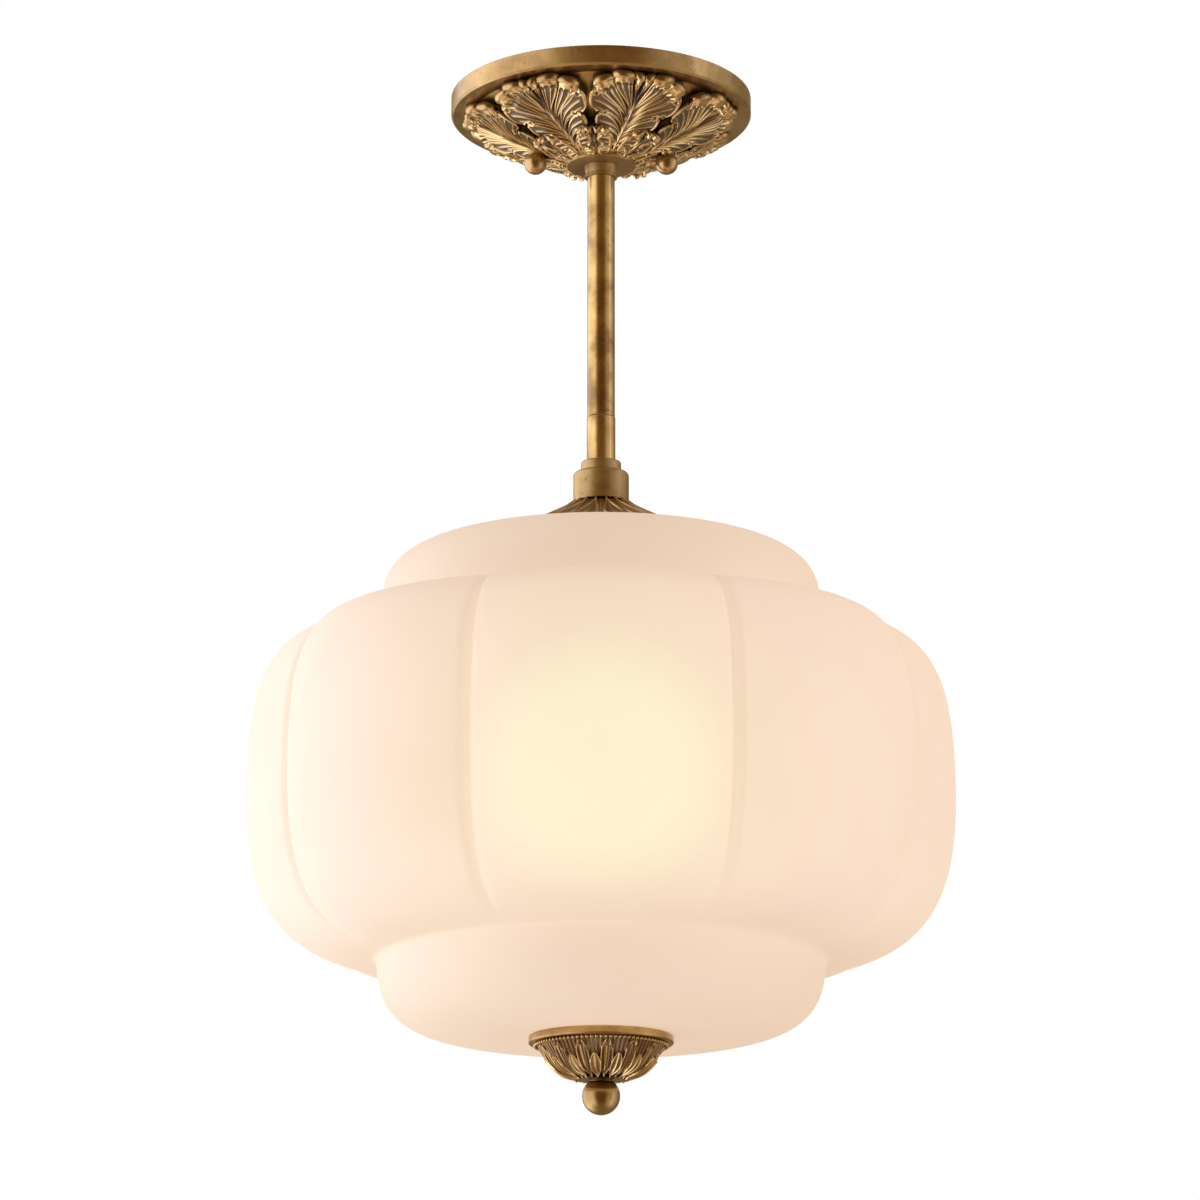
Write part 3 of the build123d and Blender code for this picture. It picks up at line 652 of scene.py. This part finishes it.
def drawShade():
    s = shade
    rows, count = s["rows"], s["columns"]
    outer, inner = shadeSkin(0.0), shadeSkin(s["wall"])
    far, last = len(outer), (rows - 1) * count
    faces = gridFaces(rows, count, 0, wrap=True, flip=True) + gridFaces(rows, count, far, wrap=True)
    for j in range(count):
        k = (j + 1) % count
        faces.append((j, k, far + k, far + j))
        faces.append((last + k, last + j, far + last + j, far + last + k))
    points = np.concatenate([outer, inner])
    radius, level = np.hypot(points[:, 0], points[:, 1]), points[:, 2]
    # painted light: the glow attribute is high round the belly of the glass at the bulb's height, where the
    # bulb lights it most, and sets how bright the glass's emission is painted
    glow = smooth(level, *s["glowLow"]) * (1 - smooth(level, *s["glowHigh"]))
    glow = glow * smooth(radius, *s["glowAcross"])
    glass = makeMesh("opal_shade", points, faces, opal, {"glow": glow})
    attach(glass, "shade")
    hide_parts("shade_glass")


print("glass")
drawShade()


# Acanthus leaves: heights stand below the blade, since the rosette faces down
bigLeaf = {
    "root": 13.0,
    "shoulder": 51.5,
    "rootHalf": 2.6,
    "half": 20.6,
    "growth": 1.25,
    "sideLobes": 4,
    "tipLobes": [(58.2, 13.8), (60.6, 4.2), (60.2, 0.0)],
    "spineEnd": 46.0,
    "bulge": 2.2,
    "notch": 1.9,
    "veins": 2,
    "vein": 0.36,
    "eyes": True,
    "hump": 1.25,
    "seam": 1.1,
    "ridge": 0.80,
    "rim": 0.75,
    "lip": 1.5,
    "ring": 0.60,
    "eye": 1.3,
    "lap": 0.9,
    "midrib": 1.5,
    "level": -31.2,
    "pitch": 0.36,
    "arch": 2.2,
    "lift": 3.2,
    "rows": 340,
    "across": 58,
    "roll": 10,
    "rollTurn": 210,
    "rollSmall": 0.9,
    "rollLarge": 2.2,
    "skirt": 3.5,
}
smallLeaf = dict(bigLeaf, root=14.0, shoulder=27.0, rootHalf=1.8, half=6.0, sideLobes=1,
                 tipLobes=[(32.6, 3.4), (33.6, 0.0)], spineEnd=25.0, notch=0.8, veins=1, vein=0.50,
                 eyes=False, level=-30.9, pitch=0.33, arch=1.8, lift=-0.8, rows=110, across=28, roll=8,
                 rollSmall=1.0, rollLarge=1.4, skirt=3.0)
rosette = {
    "leaves": 7,
    "turn": 18.8 - 90,
    "rim": [(16.0, -27.2), (16.2, -29.2), (15.2, -31.0)],
    "bore": 5.1,
    "rimRows": 24,
    "rimColumns": 128,
}
plate = {"ledge": 60.5, "ledgeLevel": -9.0, "hub": 16.5, "hubLevel": -27.5, "sag": 1.0, "sink": 0.6}


def plateLevel(radius):
    # the underside of the canopy plate
    t = np.clip((plate["ledge"] - radius) / (plate["ledge"] - plate["hub"]), 0, 1)
    middle = (plate["ledgeLevel"] + plate["hubLevel"]) / 2 - plate["sag"]
    return plate["ledgeLevel"] * (1 - t) ** 2 + 2 * middle * t * (1 - t) + plate["hubLevel"] * t ** 2


def leafEdge(look):
    # the scalloped edge of half a leaf, lobe by lobe from the root to the tip
    steps = np.linspace(0, 1, look["sideLobes"] + 1) ** 1.2
    stops = [(look["root"] + (look["shoulder"] - look["root"]) * q,
              look["rootHalf"] + (look["half"] - look["rootHalf"]) * q ** look["growth"]) for q in steps]
    stops = np.array(stops + look["tipLobes"])
    lobes = len(stops) - 1
    u = np.linspace(0, lobes, look["rows"])
    lobe = np.minimum(u.astype(int), lobes - 1)
    t = u - lobe
    chord = stops[lobe + 1] - stops[lobe]
    length = np.linalg.norm(chord, axis=1, keepdims=True)
    out = np.stack([-chord[:, 1], chord[:, 0]], axis=1) / length
    swell = np.sqrt(np.clip(1 - (2 * t ** 0.80 - 1) ** 2, 0, 1)) ** 0.8  # lobes lean to the tip
    size = np.minimum(length[:, 0] / 7.0, 1.2) * (1 + 0.14 * np.sin(2.4 * lobe + 0.7))
    push = ((look["bulge"] + look["notch"]) * swell - look["notch"])[:, None] * size[:, None]
    edge = stops[lobe] + chord * t[:, None] + out * push
    edge[:, 1] = np.maximum(edge[:, 1], 0.02)
    return SimpleNamespace(lobes=lobes, lobe=lobe, t=t, whole=u / lobes, length=length, out=out,
                           swell=swell, edge=edge)


def leafFan(look, half):
    # curves from the midrib to the edge: those of a lobe start close together and fan out
    centred = 2 * half.t - 1
    bunch = 0.5 + 0.5 * np.sign(centred) * np.abs(centred) ** 2.6
    start = (half.lobe + bunch) / half.lobes
    spine = np.stack([look["root"] + (look["spineEnd"] - look["root"]) * start ** 1.15,
                      np.zeros(look["rows"])], axis=1)
    half.far = np.linalg.norm(half.edge - spine, axis=1, keepdims=True)
    first = spine + np.array([0.46, 0.02]) * half.far
    second = half.edge - (0.36 * half.far) * (0.80 * half.out + 0.20 * np.array([1.0, 0.0]))
    second[:, 1] = np.maximum(second[:, 1], 0.0)
    v = (1 - (1 - np.linspace(0, 1, look["across"])) ** 1.3)[None, :, None]
    flat = ((1 - v) ** 3 * spine[:, None] + 3 * v * (1 - v) ** 2 * first[:, None]
            + 3 * v ** 2 * (1 - v) * second[:, None] + v ** 3 * half.edge[:, None])
    flat[:, :, 1] = np.maximum(flat[:, :, 1], 0.0)
    half.v, half.x, half.y = v[:, :, 0], flat[:, :, 0], flat[:, :, 1]


def leafVeins(look, half, side, wide, hump, lip):
    v, t, lobe = half.v, half.t[:, None], half.lobe[:, None]
    ridge = np.zeros_like(half.x)
    for i in range(look["veins"]):
        where = 0.5 if look["veins"] == 1 else 0.33 + 0.34 * i
        bend = where + 0.05 * np.sin(3.0 * v + lobe)
        ridge = np.maximum(ridge, gauss((t - bend) * wide, look["vein"]) * smooth(wide, 1.8, 4.0))
    ridge = ridge * (1 - smooth(v, 0.78 + 0.10 * hump, 0.93 + 0.03 * hump))
    flank = gauss(side * wide - 0.85, look["vein"]) * smooth(wide, 1.8, 4.2) * look["eyes"]
    return np.maximum(ridge, flank * (1 - lip)) * smooth(v, 0.02, 0.20)


def leafEyes(look, half):
    # round eyes are drilled where two lobes meet, each in a raised ring
    eye, ring = np.zeros_like(half.x), np.zeros_like(half.x)
    for i in range(1, look["sideLobes"] + 1 if look["eyes"] else 1):
        row = int(round(i * (look["rows"] - 1) / half.lobes))
        spot = np.argmin(np.abs(half.far[row, 0] * (1 - half.v[0]) - 1.7))
        gap = np.hypot(half.x - half.x[row, spot], half.y - half.y[row, spot])
        eye = np.maximum(eye, gauss(gap, 0.62))
        ring = np.maximum(ring, gauss(gap - 1.45, 0.36))
    return eye, ring


def leafRelief(look, half, share):
    # how far each point stands out from the blade, and its mark for the carved brass
    v, t = half.v, half.t[:, None]
    tip = (half.lobe >= look["sideLobes"])[:, None] * 1.0
    side = np.minimum(t, 1 - t)
    wide = half.length * (0.12 + 0.88 * v)  # how wide the lobe is there
    reach = half.far * (1 - v)  # how far the edge is
    lip = tip * smooth(v, 0.82, 0.93)
    hump = np.sin(math.pi * t) ** 0.8
    eye, ring = leafEyes(look, half)
    ridge = leafVeins(look, half, side, wide, hump, lip) * (1 - eye)
    rim = gauss(reach - 0.15, 0.62) * smooth(side * wide, 0.25, 0.9)
    height = look["hump"] * hump * smooth(v, 0.12, 0.75) + 0.5 * v ** 3
    height = height - look["seam"] * gauss(side * wide, 0.45) * smooth(v, 0.12, 0.5)
    height = height + look["ridge"] * ridge + look["rim"] * rim * (1 - lip) + look["lip"] * lip * hump ** 0.5
    height = height - 0.6 * tip * gauss(v - 0.80, 0.035) * hump
    height = height + look["ring"] * ring * smooth(reach, 0.3, 1.2) - look["eye"] * eye
    height = height + look["lap"] * (t - 0.45) * v ** 2 * (1 - tip)  # each lobe laps over the one before
    rib = gauss(half.y, 1.05 - 0.45 * share)
    rib = rib * (1 - smooth(half.x, look["spineEnd"] - 2, look["spineEnd"] + 6))
    height = height * (1 - rib) + look["midrib"] * rib
    carve = np.clip(0.12 + 0.88 * ridge + 0.9 * rim + 0.9 * rib + 0.72 * lip + 0.75 * ring
                    - 0.8 * eye - 0.4 * gauss(side * wide, 0.4), 0, 1)
    return height, carve


def rolledEdge(look, half, level):
    # the edge rolls over and goes back towards the plate
    tangent = unit(np.gradient(half.edge, axis=0))
    away = np.stack([-tangent[:, 1], tangent[:, 0]], axis=1)
    ease = smooth(half.whole, (look["sideLobes"] - 0.6) / half.lobes, (look["sideLobes"] + 0.4) / half.lobes)
    roll = (look["rollSmall"] + (look["rollLarge"] - look["rollSmall"]) * ease) * (0.35 + 0.65 * half.swell)
    grid, marks = [], []
    for i in range(1, look["roll"] + 1):
        bend = math.radians(look["rollTurn"]) * i / look["roll"]
        step = roll * math.sin(bend)
        drop = roll * (1 - math.cos(bend))
        grid.append(np.stack([half.edge[:, 0] + away[:, 0] * step,
                              np.maximum(half.edge[:, 1] + away[:, 1] * step, 0.0), level + drop], axis=1))
        marks.append(np.full(look["rows"], max(0.1, 0.95 - 0.12 * i)))
    grid.append(grid[-1] + np.array([0.0, 0.0, look["skirt"]]))
    marks.append(np.zeros(look["rows"]))
    return np.stack(grid, axis=1), np.stack(marks, axis=1)


def halfLeaf(look, side):
    half = leafEdge(look)
    leafFan(look, half)
    share = np.clip((half.x - look["root"]) / (look["shoulder"] - look["root"]), 0, 1.3)
    height, carve = leafRelief(look, half, share)
    broad = look["rootHalf"] + (look["half"] - look["rootHalf"]) * np.minimum(share, 1) + 3
    rise = look["lift"] * smooth(half.x, look["spineEnd"] - 6, look["tipLobes"][-1][0] + 4)
    base = look["level"] + look["pitch"] * (half.x - look["root"]) + rise
    base = base + (0.3 + look["arch"] * share) * (half.y / broad) ** 2
    z = base - height
    rolled, rolledMarks = rolledEdge(look, half, z[:, -1])
    points = np.concatenate([np.stack([half.x, half.y, z], axis=2), rolled], axis=1)
    marks = np.concatenate([carve, rolledMarks], axis=1)
    sunk = plateLevel(np.hypot(points[:, :, 0], points[:, :, 1])) + plate["sink"]
    points[:, :, 2] = np.minimum(points[:, :, 2], sunk)  # the edges end in the plate
    points[:, :, 1] *= side
    return points.reshape(-1, 3), marks.ravel(), gridFaces(look["rows"], points.shape[1], 0, flip=side < 0)


def leafRing(look, turn):
    points, marks, faces, start = [], [], [], 0
    for side in (1, -1):
        flat, mark, quads = halfLeaf(look, side)
        for i in range(rosette["leaves"]):
            a = math.radians(turn) + tau * i / rosette["leaves"]
            spin = np.array([[math.cos(a), -math.sin(a), 0], [math.sin(a), math.cos(a), 0], [0, 0, 1]])
            points.append(flat @ spin.T)
            marks.append(mark)
            faces += shifted(quads, start)
            start += len(flat)
    return np.concatenate(points), np.concatenate(marks), faces


def drawRosette():
    r = rosette
    points, marks, faces = leafRing(bigLeaf, r["turn"])
    more, moreMarks, moreFaces = leafRing(smallLeaf, r["turn"] + 180 / r["leaves"])
    faces += shifted(moreFaces, len(points))
    rimPath = bezier(r["rim"], 10).tolist() + [(r["bore"], r["rim"][-1][1])]
    rim, _ = revolved(resample(rimPath, r["rimRows"]), r["rimColumns"])
    faces += gridFaces(r["rimRows"], r["rimColumns"], len(points) + len(more), wrap=True, flip=True)
    points = np.concatenate([points, more, rim])
    marks = np.concatenate([marks, moreMarks, np.full(len(rim), 0.4)])
    leaves = makeMesh("acanthus_rosette", points, faces, brassCarved, {"carve": marks})
    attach(leaves, "fixture")
    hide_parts("leaf_rosette")


print("leaves")
drawRosette()


# Leaf cup and cap
def pointed(share, angle, count, turn, tip, wide, radius):
    # slender leaves whose tips are at a row share: distance in mm inside the outline, distance from
    # the leaf's middle line, and how far along the leaf
    step = tau / count
    off = np.abs((angle - math.radians(turn) + step / 2) % step - step / 2) * radius
    along = np.clip((share - tip) / (1 - tip), 0, 1)
    half = wide * np.sin(math.pi * along ** 0.72) ** 0.9 * (share > tip)
    return half - off, off, along


def carvedShell(name, look, path, relief, inset):
    points, push = revolved(path, look["columns"], lambda share, angle: relief(share, angle) - inset(share))
    faces = gridFaces(len(path), look["columns"], 0, wrap=True, flip=True)
    carved = push + inset(np.linspace(0, 1, len(path))[:, None])
    marks = np.clip(look["mark"] + carved * 0.9, 0, 1).ravel()
    back, _ = revolved(resample(look["back"], look["backRows"]), look["columns"])
    faces += gridFaces(look["backRows"], look["columns"], len(points), wrap=True, flip=True)
    marks = np.concatenate([marks, np.full(len(back), 0.2)])
    return makeMesh(name, np.concatenate([points, back]), faces, brassCup, {"carve": marks})


cup = {
    "leaves": 14,
    "turn": 96.0,
    "columns": 1120,
    "rows": 150,
    "meridian": [(29.4, -443.7), (27.4, -447.0), (19.9, -455.7), (11.0, -459.7)],
    "back": [(11.0, -459.7), (3.05, -459.7), (3.05, -458.2), (10.4, -458.2), (18.6, -454.4),
             (26.0, -446.6), (27.9, -443.7), (29.4, -443.7)],
    "backRows": 12,
    "rim": 29.4,
    "narrowing": 18.4,
    "longTip": 0.07,
    "longHalf": 2.7,
    "shortTip": 0.34,
    "shortHalf": 2.5,
    "flutes": 0.30,
    "inset": 0.95,
    "insetDip": 0.75,
    "mark": 0.20,
}


def cupRelief(share, angle):
    c = cup
    radius = c["rim"] - c["narrowing"] * share ** 1.6
    longEdge, longOff, longRun = pointed(share, angle, c["leaves"], c["turn"], c["longTip"], c["longHalf"],
                                         radius)
    shortEdge, shortOff, shortRun = pointed(share, angle, c["leaves"], c["turn"] + 180 / c["leaves"],
                                            c["shortTip"], c["shortHalf"], radius)
    flutes = c["flutes"] * np.cos(angle * c["leaves"] * 6) * (1 - smooth(share, 0.6, 0.95))
    high = flutes + 0.25 * smooth(longEdge, -0.2, 0.5) + 0.80 * gauss(longEdge, 0.40) * (longRun > 0)
    high = high + 0.75 * gauss(longOff, 0.36) * smooth(longRun, 0.05, 0.2) * (longEdge > 0)
    over = 0.40 * smooth(shortEdge, -0.15, 0.3) + 0.80 * gauss(shortEdge, 0.38) * (shortRun > 0)
    over = over + 0.65 * gauss(shortOff, 0.34) * (shortEdge > 0)
    inside = smooth(shortEdge, -0.3, 0.1) * (shortRun > 0)
    return high * (1 - inside) + over * inside - 0.35 * (1 - inside) * smooth(share, 0.0, 0.1)


def cupInset(share):
    return cup["inset"] - cup["insetDip"] * np.sin(math.pi * share) ** 0.8


def spline(points, count):
    # a smooth curve through the points
    points = np.asarray(points, float)
    wide = np.concatenate([2 * points[:1] - points[1:2], points, 2 * points[-1:] - points[-2:-1]])
    path = []
    for i in range(len(points) - 1):
        a, b, c, d = wide[i:i + 4]
        t = np.linspace(0, 1, 40, endpoint=i == len(points) - 2)[:, None]
        path.append(0.5 * (2 * b + (c - a) * t + (2 * a - 5 * b + 4 * c - d) * t ** 2
                           + (3 * b - a - 3 * c + d) * t ** 3))
    return resample(np.concatenate(path), count)


def drawCup():
    leafCup = carvedShell("carved_cup", cup, spline(cup["meridian"], cup["rows"]), cupRelief, cupInset)
    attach(leafCup, "shade")
    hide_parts("leaf_cup")


print("cup")
drawCup()

cap = {
    "leaves": 20,
    "turn": 9.0,
    "columns": 960,
    "rows": 120,
    "cone": [(12.7, -195.5), (23.5, -202.0), (37.0, -208.6)],
    "shoulder": [(37.0, -208.6), (41.2, -210.6), (43.4, -212.0)],
    "skirt": [(43.4, -212.0), (43.4, -216.6), (43.4, -221.2)],
    "back": [(43.4, -221.2), (42.0, -221.2), (42.0, -213.2), (36.3, -211.0), (23.5, -204.4),
             (12.7, -198.2), (5.1, -198.2), (5.1, -195.5), (12.7, -195.5)],
    "backRows": 12,
    "neck": 12.7,
    "spread": 30.7,
    "inset": 0.85,
    "mark": 0.16,
}


def capRelief(share, angle):
    c = cap
    radius = c["neck"] + c["spread"] * share
    edge, off, _ = pointed(1 - share, angle, c["leaves"], c["turn"], 0.10, 0.115 * radius, radius)
    _, gap, _ = pointed(1 - share, angle, c["leaves"], c["turn"] + 180 / c["leaves"], 0.2,
                        0.05 * radius, radius)
    high = 0.95 * gauss(edge, 0.42) + 0.55 * gauss(off, 0.4) * (edge > 0) + 0.45 * gauss(gap, 0.4)
    return high * (1 - smooth(share, 0.93, 1.0))


def capInset(_):
    return cap["inset"]


def drawCap():
    path = np.concatenate([bezier(cap["cone"], 60), bezier(cap["shoulder"], 20)[1:],
                           bezier(cap["skirt"], 20)[1:]])
    leafCap = carvedShell("carved_cap", cap, resample(path, cap["rows"]), capRelief, capInset)
    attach(leafCap, "fixture")
    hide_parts("shade_cap")


print("cap")
drawCap()

beads = {"count": 88, "ring": 29.3, "level": -444.5, "radius": 0.78, "rows": 8, "columns": 12, "mark": 0.75}


def drawBeads():
    b = beads
    down = np.linspace(0, math.pi, b["rows"])[:, None]
    around = (np.arange(b["columns"]) * tau / b["columns"])[None, :]
    ball = np.stack([np.sin(down) * np.cos(around), np.sin(down) * np.sin(around),
                     np.cos(down) * np.ones_like(around)], axis=2).reshape(-1, 3) * b["radius"]
    turns = [tau * i / b["count"] for i in range(b["count"])]
    points = [ball + np.array([b["ring"] * math.cos(a), b["ring"] * math.sin(a), b["level"]]) for a in turns]
    faces = []
    for i in range(b["count"]):
        faces += gridFaces(b["rows"], b["columns"], i * len(ball), wrap=True, flip=True)
    points = np.concatenate(points)
    ring = makeMesh("cup_beads", points, faces, brassCarved, {"carve": np.full(len(points), b["mark"])})
    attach(ring, "shade")


drawBeads()

# Camera, fitted to the photograph: it looks up at the light from below
view = {
    "place": (-0.0005, -1.9466, -0.7433),
    "tilt": 104.472,
    "sensor": 36.0,
    "focalPixels": 4434.6,
    "framePixels": 1200.0,
    "clip": (0.05, 50.0),
}


def placeCamera():
    camera = bpy.data.objects.new("camera", bpy.data.cameras.new("camera"))
    bpy.context.scene.collection.objects.link(camera)
    camera.location = view["place"]
    camera.rotation_euler = (math.radians(view["tilt"]), 0.0, 0.0)
    camera.data.sensor_width = view["sensor"]
    camera.data.lens = view["focalPixels"] * view["sensor"] / view["framePixels"]
    camera.data.clip_start, camera.data.clip_end = view["clip"]
    bpy.context.scene.camera = camera


# Light
aim = Vector((0.0, 0.0, -0.26))
lamps = {
    "key": {"place": (-2.4, 0.35, -0.35), "size": 2.0, "power": 44.0, "colour": (0.84, 0.87, 1.0)},
    "fill": {"place": (2.4, -0.75, -0.25), "size": 1.6, "power": 17.0, "colour": (1.0, 0.93, 0.84)},
    "below": {"place": (-0.9, -1.5, -2.2), "size": 2.4, "power": 18.0, "colour": (1.0, 0.95, 0.88)},
}


def placeLamp(name, look):
    data = bpy.data.lights.new(name, "AREA")
    data.shape = "DISK"
    data.size = look["size"]
    data.energy = look["power"]
    data.color = look["colour"]
    lamp = bpy.data.objects.new(name, data)
    lamp.location = look["place"]
    lamp.rotation_euler = (aim - Vector(look["place"])).to_track_quat("-Z", "Y").to_euler()
    lamp.visible_camera = False
    lamp.visible_glossy = False  # the brass shows the studio's own tone
    bpy.context.scene.collection.objects.link(lamp)


floor = {
    "half": 9000.0,
    "level": -2600.0,
    "steps": 24,
    "light": (0.74, 0.73, 0.72),
    "dark": (0.71, 0.70, 0.69),
    "glow": (0.76, 0.76, 0.76),
}


def floorMatter():
    material, tree = newMaterial("paleFloor")
    place = objectPlace(tree)
    clouds = noise(tree, place, 1.5, 5.0, 0.6, 0.2)
    grain = noise(tree, place, 18.0, 3.0, 0.6)
    colour = mixColour(tree, ramp(tree, clouds, 0.32, 0.70), floor["light"], floor["dark"])
    glow = mixColour(tree, grain, floor["glow"], tuple(v * 0.97 for v in floor["glow"]))
    surfaceOf(tree, {"Base Color": colour, "Roughness": 0.55 + clouds * 0.14 + grain * 0.08,
                     "Normal": bump(tree, grain * 0.7 + clouds * 0.3, 0.2, 0.0002),
                     "Emission Color": glow, "Emission Strength": 1.0})
    return material


def drawFloor():
    side = np.linspace(-floor["half"], floor["half"], floor["steps"])
    grid = np.stack(np.meshgrid(side, side, indexing="ij"), axis=2).reshape(-1, 2)
    grid = np.concatenate([grid, np.full((len(grid), 1), floor["level"])], axis=1)
    pale = makeMesh("pale_floor", grid, gridFaces(floor["steps"], floor["steps"], flip=True), floorMatter())
    pale.visible_glossy = False  # the studio's own tone shows in the brass
    pale.visible_diffuse = False


# what the brass mirrors, by the bearing in radians: 0 is in front of the light and right is positive
studio = {
    "leftBox": {"tone": (1.85, 1.82, 1.72), "span": (0.50, 0.95, 2.2, 2.8)},
    "rightBox": {"tone": (0.72, 0.67, 0.58), "span": (0.45, 0.9, 1.8, 2.3)},
    "rightStrip": {"tone": (1.40, 1.36, 1.28), "span": (1.2, 1.35, 1.5, 1.65)},
    "behind": (0.29, 0.220, 0.135),
    "front": (0.20, 0.10, 0.028),
    "above": (0.50, 0.44, 0.36),
    "below": (0.34, 0.245, 0.145),
    "light": (0.36, 0.35, 0.34),
    "background": (1.0, 1.0, 1.0),
}


def studioWorld():
    s = studio
    world = bpy.data.worlds.new("studio")
    bpy.context.scene.world = world
    world.use_nodes = True
    tree = world.node_tree
    tree.nodes.clear()
    x, y, z = axesOf(tree, addNode(tree, "ShaderNodeTexCoord", {}, {}, "Generated"))
    bearing = x.math("ARCTAN2", x, 0.0 - y)
    tone = s["behind"]
    for turned, box in ((0.0 - bearing, s["leftBox"]), (bearing, s["rightBox"]), (bearing, s["rightStrip"])):
        tone = mixColour(tree, band(tree, turned, *box["span"]), tone, box["tone"])
    tone = mixColour(tree, 1.0 - ramp(tree, bearing * bearing, 0.10, 0.60), tone, s["front"])
    tone = mixColour(tree, ramp(tree, z, 0.35, 0.9), tone, s["above"])
    tone = mixColour(tree, ramp(tree, 0.0 - z, 0.60, 0.98), tone, s["below"])
    glossyRay = addNode(tree, "ShaderNodeLightPath", {}, {}, "Is Glossy Ray")
    cameraRay = addNode(tree, "ShaderNodeLightPath", {}, {}, "Is Camera Ray")
    tone = mixColour(tree, glossyRay, s["light"], tone)
    soft = addNode(tree, "ShaderNodeBackground", {}, {"Color": tone, "Strength": 1.0})
    white = addNode(tree, "ShaderNodeBackground", {}, {"Color": s["background"], "Strength": 1.0})
    shown = addNode(tree, "ShaderNodeMixShader", {}, {0: cameraRay, 1: soft, 2: white})
    toOutput(tree, "ShaderNodeOutputWorld", shown)


print("stage")
placeCamera()
for name, look in lamps.items():
    placeLamp(name, look)
drawFloor()
studioWorld()

bpy.context.scene.view_settings.view_transform = "Standard"
